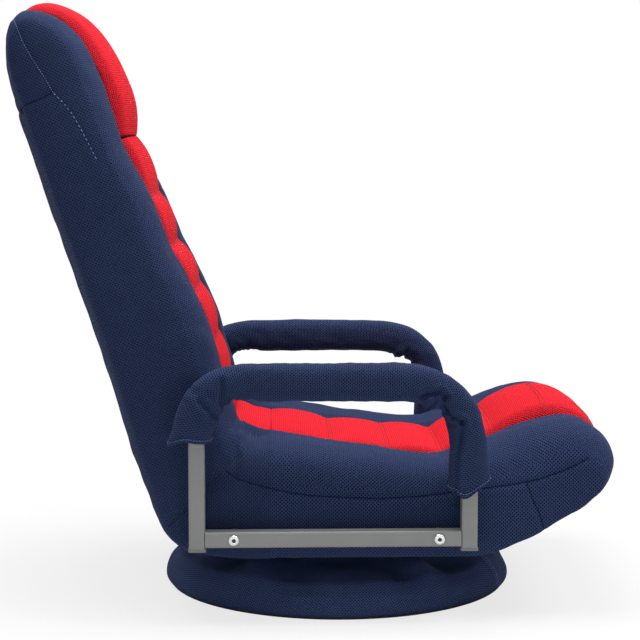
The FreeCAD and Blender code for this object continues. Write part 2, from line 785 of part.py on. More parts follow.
def hinge_seat_plate():
    """The seat's half of a hinge, riveted to the inner side of the rail."""
    x = SEAT_PLATE_X
    plate = disc(polar(x, 0, 0), LATERAL, 2 * SEAT_PLATE_RADIUS, PLATE)
    pawl_spot = polar(x, PAWL_REACH, PAWL_ANGLE)
    boss = disc(pawl_spot, LATERAL, 18, PLATE)
    low = min(SEAT_RIVET_Y) - 8
    tongue = box(V(x, low, RAIL_Z - TUBE / 2 + 1), V(x + PLATE, HINGE_Y, RAIL_Z + TUBE / 2 - 1))
    web = box(V(x, pawl_spot.y - 9, pawl_spot.z), V(x + PLATE, HINGE_Y - 8, RAIL_Z))
    plate = plate.fuse([boss, tongue, web]).removeSplitter()
    plate = plate.cut(disc(polar(x - 5, 0, 0), LATERAL, HINGE_PIN, 20))
    plate = plate.cut(disc(polar(x - 5, PAWL_REACH, PAWL_ANGLE), LATERAL, PAWL_PIN, 20))
    plate = cut_all(plate, seat_rivet_spaces(SEAT_PLATE_X - 1, RAIL_X, RIVET))
    return largest(cut_all(plate, arm_bolt_spaces(SEAT_PLATE_X - 1, RAIL_X, NUT)))


def seat_rivets():
    made = []
    for y in SEAT_RIVET_Y:
        head = rod(V(SEAT_PLATE_X - RIVET_HEAD_THICK, y, RAIL_Z), V(SEAT_PLATE_X, y, RAIL_Z), RIVET_HEAD)
        shank = rod(V(SEAT_PLATE_X - 1, y, RAIL_Z), V(RAIL_IN + TUBE_WALL, y, RAIL_Z), RIVET)
        made.append(head.fuse(shank).removeSplitter())
    return group(made)


def notch_angles():
    """Polar angles of the notches when the back is where it stands at rest."""
    rest_step = 1
    return [PAWL_TIP_ANGLE + NOTCH_STEP * (rest_step - i) for i in range(NOTCH_COUNT)]


def hinge_back_plate():
    """The back's half of a hinge: a notched disc and an arm along the back's frame."""
    x = BACK_PLATE_X
    wheel = disc(polar(x, 0, 0), LATERAL, 2 * RATCHET_RADIUS, PLATE)
    half = BACK_ARM_WIDTH / 2
    corners = [on_back(x, 0, half), on_back(x, BACK_ARM_LENGTH, half), on_back(x, BACK_ARM_LENGTH, -half),
               on_back(x, 0, -half), on_back(x, 0, half)]
    arm = Part.Face(Part.makePolygon(corners)).extrude(V(PLATE, 0, 0))
    plate = wheel.fuse(arm).removeSplitter()
    for angle in notch_angles():
        spot = polar(x - 1, RATCHET_RADIUS + NOTCH_WIDTH / 2 - NOTCH_DEPTH, angle)
        plate = plate.cut(disc(spot, LATERAL, NOTCH_WIDTH, PLATE + 2))
    plate = plate.cut(disc(polar(x - 5, 0, 0), LATERAL, HINGE_PIN + 2 * RUN, 20))
    for s in BACK_RIVET_S:
        plate = plate.cut(disc(on_back(x - 5, s, 0), LATERAL, RIVET, 20))
    return largest(plate)


def back_rivets():
    made = []
    for s in BACK_RIVET_S:
        out = BACK_PLATE_X + PLATE
        head = disc(on_back(out, s, 0), LATERAL, RIVET_HEAD, RIVET_HEAD_THICK)
        shank = disc(on_back(BACK_PLATE_X - TUBE_WALL, s, 0), LATERAL, RIVET, PLATE + TUBE_WALL + 0.5)
        made.append(head.fuse(shank).removeSplitter())
    return group(made)


def hinge_pin():
    inner = BACK_PLATE_X - RUN * 4
    outer = RAIL_IN
    head_in = disc(polar(inner - HINGE_PIN_HEAD_THICK, 0, 0), LATERAL, HINGE_PIN_HEAD, HINGE_PIN_HEAD_THICK)
    shaft = disc(polar(inner - 1, 0, 0), LATERAL, HINGE_PIN, outer - inner + 2)
    head_out = disc(polar(outer, 0, 0), LATERAL, HINGE_PIN_HEAD, HINGE_PIN_HEAD_THICK)
    return head_in.fuse([shaft, head_out]).removeSplitter()


def pawl():
    """A locking lever whose tip stands just clear of the ratchet's crown."""
    x = BACK_PLATE_X
    eye = disc(polar(x, PAWL_REACH, PAWL_ANGLE), LATERAL, PAWL_EYE, PLATE)
    tip_radius = NOTCH_WIDTH / 2 - 0.4
    tip_spot = polar(x, RATCHET_RADIUS + PAWL_LIFT + tip_radius, PAWL_TIP_ANGLE)
    tip = disc(tip_spot, LATERAL, 2 * tip_radius, PLATE)
    start = polar(x, PAWL_REACH, PAWL_ANGLE)
    run = tip_spot - start
    side = LATERAL.cross(run)
    side.normalize()
    corners = [start + side * 6.2, start - side * 2.0, tip_spot - side * tip_radius, tip_spot + side * tip_radius]
    arm = Part.Face(Part.makePolygon(corners + [corners[0]])).extrude(V(PLATE, 0, 0))
    lever = eye.fuse([arm, tip]).removeSplitter()
    lever = lever.cut(disc(polar(x - 1, PAWL_REACH, PAWL_ANGLE), LATERAL, PAWL_PIN + 2 * RUN, PLATE + 2))
    return largest(lever.cut(disc(polar(x - 1, 0, 0), LATERAL, 2 * (RATCHET_RADIUS + PAWL_LIFT), PLATE + 2)))


SPRING_LENGTH = SPRING_TURNS * SPRING_PITCH


def pawl_pin():
    inner = BACK_PLATE_X - SPRING_LENGTH - SPRING_WIRE - 2 * SEAT_GAP
    head = disc(polar(inner - 2, PAWL_REACH, PAWL_ANGLE), LATERAL, PAWL_PIN + 6, 2)
    shaft = disc(polar(inner - 1, PAWL_REACH, PAWL_ANGLE), LATERAL, PAWL_PIN, RAIL_IN - inner + 1)
    return head.fuse(shaft).removeSplitter()


def pawl_spring():
    """A coil round the pawl's pin."""
    radius = PAWL_PIN / 2 + SPRING_WIRE / 2 + 0.2
    start = BACK_PLATE_X - SEAT_GAP - SPRING_WIRE / 2 - SPRING_LENGTH
    helix = Part.makeHelix(SPRING_PITCH, SPRING_LENGTH, radius)
    profile = Part.Wire(Part.Circle(V(radius, 0, 0), V(0, 1, 0), SPRING_WIRE / 2).toShape())
    coil = Part.Wire(helix.Edges).makePipeShell([profile], True, True)
    coil.rotate(V(0, 0, 0), V(0, 1, 0), 90)
    coil.translate(polar(start, PAWL_REACH, PAWL_ANGLE))
    return coil if coil.Volume > 0 else coil.reversed()


# Back

def back_frame_points():
    return [
        on_back(-BACK_TUBE_X, BACK_FRAME_START, 0),
        on_back(-BACK_TUBE_X, BACK_FRAME_TOP, 0),
        on_back(BACK_TUBE_X, BACK_FRAME_TOP, 0),
        on_back(BACK_TUBE_X, BACK_FRAME_START, 0),
    ]


def back_normal():
    return on_back(0, 0, 1) - on_back(0, 0, 0)


def back_frame():
    frame = square_tube(back_frame_points(), BACK_BEND, back_normal())
    holes = [disc(on_back(BACK_PLATE_X - 6, s, 0), LATERAL, RIVET, 12) for s in BACK_RIVET_S]
    return cut_all(frame, both_sides(holes))


def back_wires(extra=0.0):
    """Steel wires across the front of the back's frame, behind the foam."""
    front = (TUBE + WIRE) / 2
    reach = BACK_TUBE_X
    return group([rod(on_back(-reach, s, front), on_back(reach, s, front), WIRE + extra) for s in BACK_WIRE_S])


# (s, d) of the back's side outline, up the front, over the top and down the rear
BACK_FRONT_LINE = [
    (BACK_START, 88), (172, 89), (222, 93), (287, 86), (340, 76), (410, 73), (473, 60), (542, 61), (600, 57),
    (646, 40),
]
BACK_FRONT_BOWS = [1.5, 1.0, 1.0, 0.5, 1.0, 1.0, -1.0, 1.0, 2.5, 3.5]
BACK_TOP_POINT = (671, 6)
BACK_REAR_LINE = [(651, -23), (606, -39), (556, -44), (461, -43), (285, -41), (BACK_START, -44)]
BACK_REAR_BOWS = [5.0, 3.0, 1.0, 0.5, 0.5, 0.5, 0.0]
# the front points where the two pads lie
BACK_RECESS_LINE = [
    (BACK_START, 74), (172, 76), (222, 81), (287, 75), (340, 65), (410, 61), (473, 55), (542, 65), (600, 62),
    (650, 42),
]
HEAD_TOP_POINT = (675, -6)
BACK_MID_DEPTH = 20.0
HEAD_ANCHOR = (612, 8)
BACK_SIDES = [(217, 0.50, 0.62), (213, 0.72, 0.84), (203, 0.87, 0.95), (186, 0.95, 1.0), (165, 0.99, 1.0),
              (140, 1.0, 1.0), (PANEL_HALF_WIDTH + PANEL_EDGE, 0.985, 1.0)]


def on_back_outline(x, points, front_share, rear_share):
    made = []
    for s, d in points:
        share = front_share if d > BACK_MID_DEPTH or s > 660 else rear_share
        anchor = HEAD_ANCHOR if s > HEAD_ANCHOR[0] else (s, BACK_MID_DEPTH)
        share = 0.55 + 0.45 * share if anchor == HEAD_ANCHOR else share
        s, d = drawn((s, d), anchor, share)
        made.append(on_back(x, s, d))
    return made


def back_foam():
    bows = BACK_FRONT_BOWS + BACK_REAR_BOWS

    def outline(x, front_share, rear_share):
        recessed = abs(x) <= PANEL_HALF_WIDTH
        front = BACK_RECESS_LINE if recessed else BACK_FRONT_LINE
        top = HEAD_TOP_POINT if recessed else BACK_TOP_POINT
        points = on_back_outline(x, front + [top] + BACK_REAR_LINE, front_share, rear_share)
        if recessed:
            return bowed(points, [0.0] * len(front) + BACK_REAR_BOWS)
        return bowed(points, bows)

    inner = [(PANEL_HALF_WIDTH * w, 1.0, 1.0) for w, _ in PAD_STATIONS]
    return across(outline, BACK_SIDES + inner)


def back_steel_space():
    """Everything steel that the back's foam is moulded round."""
    shapes = [square_bar(back_frame_points(), BACK_BEND, TUBE + 2 * FOAM_GAP, TUBE_CORNER, back_normal())]
    shapes += back_wires(2 * FOAM_GAP).Solids
    half = BACK_ARM_WIDTH / 2 + FOAM_GAP
    reach = BACK_ARM_LENGTH + FOAM_GAP
    low = BACK_PLATE_X - FOAM_GAP
    corners = [on_back(low, 60, half), on_back(low, reach, half), on_back(low, reach, -half), on_back(low, 60, -half)]
    wide = PLATE + RIVET_HEAD_THICK + 2 * FOAM_GAP
    arm = Part.Face(Part.makePolygon(corners + [corners[0]])).extrude(V(wide, 0, 0))
    return shapes + both_sides([arm])


def back_cushion():
    return largest(cut_all(back_foam(), back_steel_space()))


def place_line(x, points):
    return [on_back(x, s, d) for s, d in points]


# (s, d) of each seam of the back pad, and how far the channel after it is crowned
BACK_SEAMS = [
    (BACK_START, 84, 5.0), (131, 88, 5.5), (200, 89.5, 6.5), (272, 86, 6.0), (337, 75, 6.0), (407, 73.5, 5.0),
    (486, 70, 0.0),
]
HEAD_SEAMS = [(490, 70, 3.5), (560, 80, 3.0), (611, 77, 3.0), (649, 60, 4.5), (682, 12, 2.0),
              (678, -9, 0.0)]


def pad_on_back(base, seams):
    """A channelled pad on the back's recessed front. The base runs upwards."""
    base = [(s, d + SEAT_GAP) for s, d in base]

    def floor(s):
        return base_height(base, s)

    def outline(x, share):
        points = []
        bows = []
        for s, d, crown in seams:
            if s > HEAD_ANCHOR[0]:
                s, d = drawn((s, d), HEAD_ANCHOR, 0.955 + 0.045 * share)
            low = floor(s) + 1.5 if s < base[-1][0] else -100
            d = low + (d - low) * share if low > -100 else d
            points.append(on_back(x, s, d))
            bows.append(crown * (0.35 + 0.65 * share))
        bows[-1] = 0.0
        points += place_line(x, reversed(base))
        bows += [0.0] * len(base)
        return bowed(points, bows)

    return across(outline, [(PANEL_HALF_WIDTH * w - (0.4 if w == 1.0 else 0), share) for w, share in PAD_STATIONS])


def recess_between(low, high):
    """The recessed line from one height to another."""
    inside = [point for point in BACK_RECESS_LINE if low < point[0] < high]
    return [(low, base_height(BACK_RECESS_LINE, low))] + inside + [(high, base_height(BACK_RECESS_LINE, high))]


def back_pad():
    return pad_on_back(recess_between(BACK_START, BACK_SEAMS[-1][0]), BACK_SEAMS)


def headrest_pad():
    base = recess_between(HEAD_SEAMS[0][0], BACK_RECESS_LINE[-1][0])
    return pad_on_back(base + [(HEAD_TOP_POINT[0] + SEAT_GAP, HEAD_TOP_POINT[1])], HEAD_SEAMS)


# Corner between seat and back, which folds when the back reclines

CORNER_SIDES = [(236, 0.30, 0.60), (231, 0.55, 0.84), (217, 0.80, 0.96), (196, 0.95, 1.0), (160, 1.0, 1.0),
                (0, 1.0, 1.0)]


def corner_outline(x, top_share, under_share):
    front = SEAT_REAR + SEAT_GAP
    end = BACK_START - SEAT_GAP
    rear = [on_back(x, end, -44), on_back(x, 40, -42), on_back(x, 6, -34), on_back(x, -19, -24)]
    floor = [V(x, 178, SEAT_BOTTOM), V(x, front, SEAT_BOTTOM)]
    rear_height = SEAT_TOP_LINE[-1][1]
    top = [V(x, front, rear_height), V(x, front + 20.7, rear_height + 7), on_back(x, end, BACK_FRONT_LINE[0][1])]
    middle = V(x, HINGE_Y - 37, HINGE_Z + 32)
    made = [middle + (p - middle) * under_share for p in rear]
    made += [V(x, p.y, middle.z + (p.z - middle.z) * under_share) for p in floor]
    made += [V(x, top[0].y, middle.z + (top[0].z - middle.z) * top_share)]
    made += [V(x, p.y, middle.z + (p.z - middle.z) * (0.4 + 0.6 * top_share)) for p in top[1:]]
    return bowed(made, [1.0, 2.0, 1.0, 1.0, 0.0, 0.0, -1.0, -1.0, 0.0])


def corner_foam():
    foam = across(corner_outline, CORNER_SIDES)
    gap = FOAM_GAP
    slot_low = BACK_PLATE_X - SPRING_LENGTH - SPRING_WIRE - 2 * SEAT_GAP - 2 - gap
    slot_wide = RAIL_IN + HINGE_PIN_HEAD_THICK + gap - slot_low
    spaces = [disc(polar(slot_low, 0, 0), LATERAL, 2 * SEAT_PLATE_RADIUS + 2 * gap, slot_wide)]
    spaces.append(disc(polar(slot_low, PAWL_REACH, PAWL_ANGLE), LATERAL, 20, slot_wide))
    spaces.append(box(V(slot_low, SEAT_REAR, RAIL_Z - TUBE / 2 - gap), V(RAIL_IN + 1, HINGE_Y - 5, HINGE_Z + 16)))
    pawl_spot = polar(slot_low, PAWL_REACH, PAWL_ANGLE)
    spaces.append(box(pawl_spot - V(0, 9 + gap, gap), V(RAIL_IN + 1, HINGE_Y, RAIL_Z)))
    half = BACK_ARM_WIDTH / 2 + gap
    reach = BACK_TUBE_X - TUBE / 2 - gap
    corners = [on_back(reach, 0, half), on_back(reach, 130, half), on_back(reach, 130, -half), on_back(reach, 0, -half)]
    wide = BACK_PLATE_X + PLATE + RIVET_HEAD_THICK + gap - reach
    spaces.append(Part.Face(Part.makePolygon(corners + [corners[0]])).extrude(V(wide, 0, 0)))
    spaces.append(box(V(RAIL_IN - gap, 0, RAIL_Z - TUBE / 2 - gap), V(RAIL_OUT + gap, RAIL_REAR + 1, RAIL_Z + TUBE / 2 + gap)))
    spaces = both_sides(spaces)
    spaces += arm_bolt_spaces(RAIL_OUT - 1, RAIL_OUT + 20, SPACER + 2 * gap)
    spaces += arm_bolt_spaces(NUT_LOW - NUT_THICK - 1, RAIL_IN + 1, NUT + 2 * gap + 4)
    return largest(cut_all(foam, spaces))


def main():
    half = SHEET_RADIUS
    save("base_sheet", disc(V(0, 0, 0), UP, 2 * half, SHEET_THICK))
    save("base_ring", base_ring())
    save("base_legs", base_legs())
    save("base_ring_pad", base_ring_pad())
    save("base_cover", base_cover())
    save("hub_plate", hub_plate())
    save("swivel_lower_plate", swivel_plate(HUB_PLATE_TOP, lower_screw_spots(), SWIVEL_PIN))
    save("swivel_lower_screws", lower_screws())
    save("swivel_pin", swivel_pin())
    save("ball_cage", ball_cage())
    save("balls", balls())
    save("swivel_upper_plate", swivel_plate(UPPER_PLATE_LOW, screw_spots(), SWIVEL_PIN + 2 * RUN))
    save("swivel_upper_screws", upper_screws())
    save("seat_frame", seat_frame())
    save("seat_cross_bars", cross_bars())
    save("seat_wires", seat_wires())
    save("seat_cushion", seat_cushion())
    save("seat_pad", seat_pad())
    save("seat_dust_cover", dust_cover())
    save("corner_foam", corner_foam())
    save_pair("arm_frame", arm_frame())
    save_pair("arm_caps", arm_caps())
    save_pair("arm_foam", arm_foam())
    save_pair("arm_sleeve", arm_sleeve())
    save_pair("arm_bolts", arm_bolts())
    save_pair("arm_spacers", arm_spacers())
    save_pair("rail_inserts", rail_inserts())
    save_pair("hinge_seat_plate", hinge_seat_plate())
    save_pair("hinge_seat_rivets", seat_rivets())
    save_pair("hinge_pin", hinge_pin())
    save_pair("pawl_pin", pawl_pin())
    save_pair("pawl_spring", pawl_spring())
    save_pair("pawl", pawl())
    save_pair("hinge_back_plate", hinge_back_plate())
    save_pair("hinge_back_rivets", back_rivets())
    save("back_frame", back_frame())
    save("back_wires", back_wires())
    save("back_cushion", back_cushion())
    save("back_pad", back_pad())
    save("headrest_pad", headrest_pad())


main()
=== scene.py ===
import math
import bpy
import bmesh
import numpy as np
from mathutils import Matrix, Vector
from mathutils.bvhtree import BVHTree


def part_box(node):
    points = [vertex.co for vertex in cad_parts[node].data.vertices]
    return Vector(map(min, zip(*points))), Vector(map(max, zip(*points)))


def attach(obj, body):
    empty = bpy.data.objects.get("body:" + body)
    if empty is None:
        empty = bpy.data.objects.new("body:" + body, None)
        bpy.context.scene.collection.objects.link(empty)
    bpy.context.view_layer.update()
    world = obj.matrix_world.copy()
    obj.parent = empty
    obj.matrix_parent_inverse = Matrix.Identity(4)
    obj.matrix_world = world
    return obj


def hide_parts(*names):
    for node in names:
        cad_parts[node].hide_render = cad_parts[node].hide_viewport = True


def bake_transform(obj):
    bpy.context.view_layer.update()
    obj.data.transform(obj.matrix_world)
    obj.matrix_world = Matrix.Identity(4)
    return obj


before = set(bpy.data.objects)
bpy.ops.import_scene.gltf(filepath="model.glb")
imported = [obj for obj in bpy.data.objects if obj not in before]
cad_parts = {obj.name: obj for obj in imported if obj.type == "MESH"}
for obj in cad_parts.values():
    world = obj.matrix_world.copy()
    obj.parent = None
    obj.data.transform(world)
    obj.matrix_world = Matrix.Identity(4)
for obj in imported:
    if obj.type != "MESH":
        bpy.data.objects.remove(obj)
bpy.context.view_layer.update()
scene = bpy.context.scene

# Shapes are drawn in millimetres. s runs up along the back from its hinge and d stands out to its front.
mm = 0.001
hinge = {"y": 187.0, "z": 118.0, "lean": math.radians(18.0)}
leanSin, leanCos = math.sin(hinge["lean"]), math.cos(hinge["lean"])


def onBack(s, d):
    # (y, z) of a place on the back
    return np.stack([hinge["y"] + s * leanSin - d * leanCos, hinge["z"] + s * leanCos + d * leanSin], -1)


# Curves

def hump(x, at, width):
    return np.exp(-((x - at) / width) ** 2)


def smoothstep(low, high, x):
    t = np.clip((x - low) / (high - low), 0, 1)
    return t * t * (3 - 2 * t)


def unit(v):
    return v / np.maximum(np.linalg.norm(v, axis=-1, keepdims=True), 1e-9)


def leftOf(v):
    # a quarter turn of (y, z) directions
    return np.stack([-v[..., 1], v[..., 0]], -1)


def arcLine(points, bows, step=2.0):
    # a dense open line; each bow is how far an arc stands out from its run
    points = np.array(points, float)
    line = [points[0]]
    for a, b, bow in zip(points, points[1:], bows):
        run = b - a
        length = np.hypot(*run)
        side = leftOf(run) / length
        n = max(2, int(length / step))
        for t in np.arange(1, n + 1) / n:
            line.append(a + run * t + side * bow * 4 * t * (1 - t))
    return np.array(line)


def running(gaps):
    return np.concatenate([[0.0], np.cumsum(gaps)])


def lengths(line):
    # how far along a line each of its points is
    return running(np.linalg.norm(np.diff(line, axis=0), axis=1))


def resampled(line, count):
    along = lengths(line)
    at = np.linspace(0, along[-1], count)
    return np.stack([np.interp(at, along, column) for column in line.T], -1)


def softened(values, sigma, closed=False):
    # bell-shaped smoothing by index, which keeps both ends of an open run
    reach = int(3 * sigma) + 1
    kernel = hump(np.arange(-reach, reach + 1), 0, sigma * 2 ** 0.5)
    kernel /= kernel.sum()
    values = np.asarray(values, float)
    if closed:
        padded = np.concatenate([values[-reach:], values, values[:reach]])
    else:
        head = 2 * values[0] - values[reach:0:-1]
        tail = 2 * values[-1] - values[-2:-reach - 2:-1]
        padded = np.concatenate([head, values, tail])
    if padded.ndim == 1:
        return np.convolve(padded, kernel, "valid")
    return np.stack([np.convolve(column, kernel, "valid") for column in padded.T], -1)


def heightsAt(line, at, sigma=5.0):
    # the second coordinate of a line at values of its first
    order = np.argsort(line[:, 0])
    grid = np.arange(line[:, 0].min(), line[:, 0].max(), 1.0)
    values = softened(np.interp(grid, line[order, 0], line[order, 1]), sigma)
    return np.interp(at, grid, values)


def waves(points, scale, seed, octaves=3):
    # smooth unevenness of about -1 to 1, from sums of tilted sines
    source = np.random.default_rng(seed)
    total = np.zeros(len(points))
    size = 1.0
    for octave in range(octaves):
        for _ in range(5):
            heading = unit(source.normal(size=3))
            phase = source.uniform(0, 2 * math.pi)
            total += size * np.sin(points @ heading * (2 * math.pi / scale) + phase) / 5 ** 0.5
        size *= 0.5
        scale *= 0.5
    return total / 1.75


def distanceTo(points, line):
    best = np.full(len(points), 1e9)
    for a, b in zip(line, line[1:]):
        run = b - a
        t = np.clip((points - a) @ run / max(run @ run, 1e-9), 0, 1)
        best = np.minimum(best, np.linalg.norm(points - a - t[:, None] * run, axis=1))
    return best


# Meshes

def link(data, name):
    piece = bpy.data.objects.new(name, data)
    scene.collection.objects.link(piece)
    return piece


def gridMesh(name, points, u, v, wrapRows=False, wrapCols=False, keep=None):
    # quads over (rows, cols) points; the map (u, v) has one more line where the grid wraps
    rows, cols = points.shape[:2]
    lines = (rows + wrapRows, cols + wrapCols)
    uv = np.stack([np.broadcast_to(k, lines) for k in (u, v)], -1) * mm
    if keep is None:
        keep = np.ones((lines[0] - 1, lines[1] - 1), bool)
    r, c = np.nonzero(keep)
    around = ((0, 0), (1, 0), (1, 1), (0, 1))
    quads = np.stack([(r + i) % rows * cols + (c + j) % cols for i, j in around], -1)
    mesh = bpy.data.meshes.new(name)
    mesh.from_pydata((points.reshape(-1, 3) * mm).tolist(), [], quads.tolist())
    corners = np.stack([uv[r + i, c + j] for i, j in around], 1)
    mesh.uv_layers.new(name="UVMap").data.foreach_set("uv", corners.ravel().astype(np.float32))
    return mesh


def spans(grid):
    # the lengths between neighbouring rows
    return np.linalg.norm(np.diff(grid, axis=0), axis=2)


def read(items, key, size=1, kind=float):
    out = np.zeros(len(items) * size, kind)
    items.foreach_get(key, out)
    return out.reshape(-1, size) if size > 1 else out


def coordinates(mesh):
    return read(mesh.vertices, "co", 3) / mm


def setCoordinates(mesh, co):
    mesh.vertices.foreach_set("co", (co * mm).ravel())
    mesh.update()


def pushed(mesh, push):
    # moves each point out along the skin
    setCoordinates(mesh, coordinates(mesh) + read(mesh.vertex_normals, "vector", 3) * push[:, None])


def storeMark(mesh, name, values):
    layer = mesh.attributes.new(name, "FLOAT", "POINT")
    layer.data.foreach_set("value", np.asarray(values, np.float32).ravel())


def readMark(mesh, name):
    return read(mesh.attributes[name].data, "value", 1, np.float32)


def faceMeans(mesh, mark):
    # the mean of a mark over each face, with the point and the face of each corner
    corner = read(mesh.loops, "vertex_index", 1, np.int64)
    totals = read(mesh.polygons, "loop_total", 1, np.int64)
    owner = np.repeat(np.arange(len(totals)), totals)
    return np.bincount(owner, readMark(mesh, mark)[corner]) / totals, corner, owner


def edited(mesh, work):
    bm = bmesh.new()
    bm.from_mesh(mesh)
    work(bm)
    bm.to_mesh(mesh)
    bm.free()


def welded(bm):
    bmesh.ops.remove_doubles(bm, verts=bm.verts, dist=1e-6)
    bmesh.ops.recalc_face_normals(bm, faces=bm.faces)


def filled(bm):
    bmesh.ops.holes_fill(bm, edges=[e for e in bm.edges if e.is_boundary], sides=0)
    bmesh.ops.recalc_face_normals(bm, faces=bm.faces)


def applied(piece):
    # the piece keeps the mesh that its modifiers make
    dg = bpy.context.evaluated_depsgraph_get()
    dg.update()
    ready = piece.evaluated_get(dg)
    fresh = bpy.data.meshes.new_from_object(ready, preserve_all_data_layers=True, depsgraph=dg)
    old = piece.data
    piece.modifiers.clear()
    piece.data = fresh
    bpy.data.meshes.remove(old)


def modified(piece, kind, **settings):
    modifier = piece.modifiers.new(kind.lower(), kind)
    for key, value in settings.items():
        setattr(modifier, key, value)
    applied(piece)


def subdivided(piece):
    modified(piece, "SUBSURF", levels=1, render_levels=1, uv_smooth="PRESERVE_BOUNDARIES")


def smooth(piece):
    piece.data.polygons.foreach_set("use_smooth", np.ones(len(piece.data.polygons), bool))
    piece.data.update()


def treeOf(piece):
    return BVHTree.FromObject(piece, bpy.context.evaluated_depsgraph_get())


stuffing = {
    "frames": 20,
    "cloth": {"quality": 5, "mass": 0.3, "tension_stiffness": 12, "compression_stiffness": 12,
              "shear_stiffness": 6, "bending_stiffness": 0.6, "use_pressure": True},
}


def inflated(piece, cap, pressure):
    # swells a form as stuffed cloth, by up to cap millimetres where its mark "sewn" is 0
    group = piece.vertex_groups.new(name="held")
    levels = np.round(np.clip(readMark(piece.data, "sewn"), 0, 1) * 10) / 10
    for level in np.unique(levels):
        group.add(np.nonzero(levels == level)[0].tolist(), float(level), "REPLACE")
    before = coordinates(piece.data)
    cloth = piece.modifiers.new("stuffing", "CLOTH")
    for key, value in stuffing["cloth"].items():
        setattr(cloth.settings, key, value)
    cloth.settings.uniform_pressure_force = pressure
    cloth.settings.vertex_group_mass = group.name
    cloth.settings.effector_weights.gravity = 0
    cloth.point_cache.frame_start = 1
    cloth.point_cache.frame_end = stuffing["frames"]
    for number in range(1, stuffing["frames"] + 1):
        scene.frame_set(number)
    moved = coordinates(piece.evaluated_get(bpy.context.evaluated_depsgraph_get()).data) - before
    size = np.linalg.norm(moved, axis=1, keepdims=True)
    moved *= cap * np.tanh(size / cap) / np.maximum(size, 1e-6)
    piece.modifiers.remove(cloth)
    piece.vertex_groups.remove(group)
    scene.frame_set(1)
    setCoordinates(piece.data, before + moved)
    print(f"{piece.name}: swelled by up to {np.linalg.norm(moved, axis=1).max():.1f} mm")


# The navy cover of seat and back, as one skin round the whole side outline

seatRear, noseBack = 91.0, -284.0
backStart, headStart = 100.0, 612.0
seatHalf, backHalf, creaseHalf = 238, 217, 219.5     # half widths
# the side outline as points, and how far an arc stands out from each run
outline = {
    "seatUnder": (
        [(91, 79), (-171, 79), (-214.5, 95), (-277.5, 126.5), (-321, 154), (-343.5, 195)],
        [0, 1.5, 2, 1.5, 5.5]),
    "seatTop": (
        [(-343.5, 195), (-323, 229), (-288, 246), (-204, 221), (-127, 194), (-50, 202), (33, 211.8),
         (91, 220.3)], [4, 3.5, 4.5, -2, -3, -1.5, -0.6]),
    "backFront": (
        [(100, 88), (172, 89), (222, 93), (287, 86), (340, 76), (410, 73), (473, 60), (542, 61), (600, 57),
         (646, 40), (671, 6)], [1.5, 1, 1, 0.5, 1, 1, -1, 1, 2.5, 3.5]),
    "backRear": (
        [(672, 6), (654, -26), (610, -42), (556, -45.5), (461, -44.5), (285, -42.5), (100, -45)],
        [5, 3, 1, 0.5, 0.5, 0.5]),
}
seatUnder, seatTop, backFront, backRear = (arcLine(*shape) for shape in outline.values())
rowsOut, rowsIn = 33, 6     # rows from the middle to the side's seam, and from there to the widest line
inner = rowsOut + rowsIn
columns = {"seat": 51, "nose": 23, "crease": 31, "back": 69, "head": 29}
crossShapes = {
    # half width, height, then places across the chair as shares of both: the face and its side wall
    "seatTop": (
        seatHalf, 80, [(0, 1), (0.42, 1), (0.5, 0.975), (0.57, 0.97), (0.66, 0.995), (0.757, 1.0),
                       (0.861, 0.94), (0.937, 0.76), (0.975, 0.50)],
        [(0.975, 0.50), (0.990, 0.36), (1.0, 0.16), (1.0, 0)]),
    "seatUnder": (
        seatHalf, 50, [(0, 1), (0.55, 1), (0.76, 1), (0.90, 1.0), (0.965, 0.995), (0.990, 0.94)],
        [(0.990, 0.94), (0.998, 0.70), (1.0, 0.30), (1.0, 0)]),
    "backFront": (
        backHalf, 66, [(0, 1), (0.55, 1), (0.66, 1), (0.76, 0.99), (0.857, 0.945), (0.935, 0.84),
                       (0.980, 0.66)],
        [(0.980, 0.66), (0.994, 0.45), (1.0, 0.20), (1.0, 0)]),
    "backRear": (
        backHalf, 62, [(0, 1), (0.55, 1), (0.76, 1), (0.857, 0.99), (0.935, 0.94), (0.980, 0.80)],
        [(0.980, 0.80), (0.995, 0.52), (1.0, 0.25), (1.0, 0)]),
}
panelHalf = {"rear": 92.0, "crease": 104.0, "back": 112.0, "front": 115.0}      # of the red panel


def crossTable(half, tall, face, wall):
    made = []
    for table, count in ((face, rowsOut), (wall, rowsIn)):
        line = softened(resampled(np.array(table, float) * (half, tall), 400), 9)
        made.append(resampled(line, count + 1) / (half, tall))
    return np.concatenate([made[0], made[1][1:]])


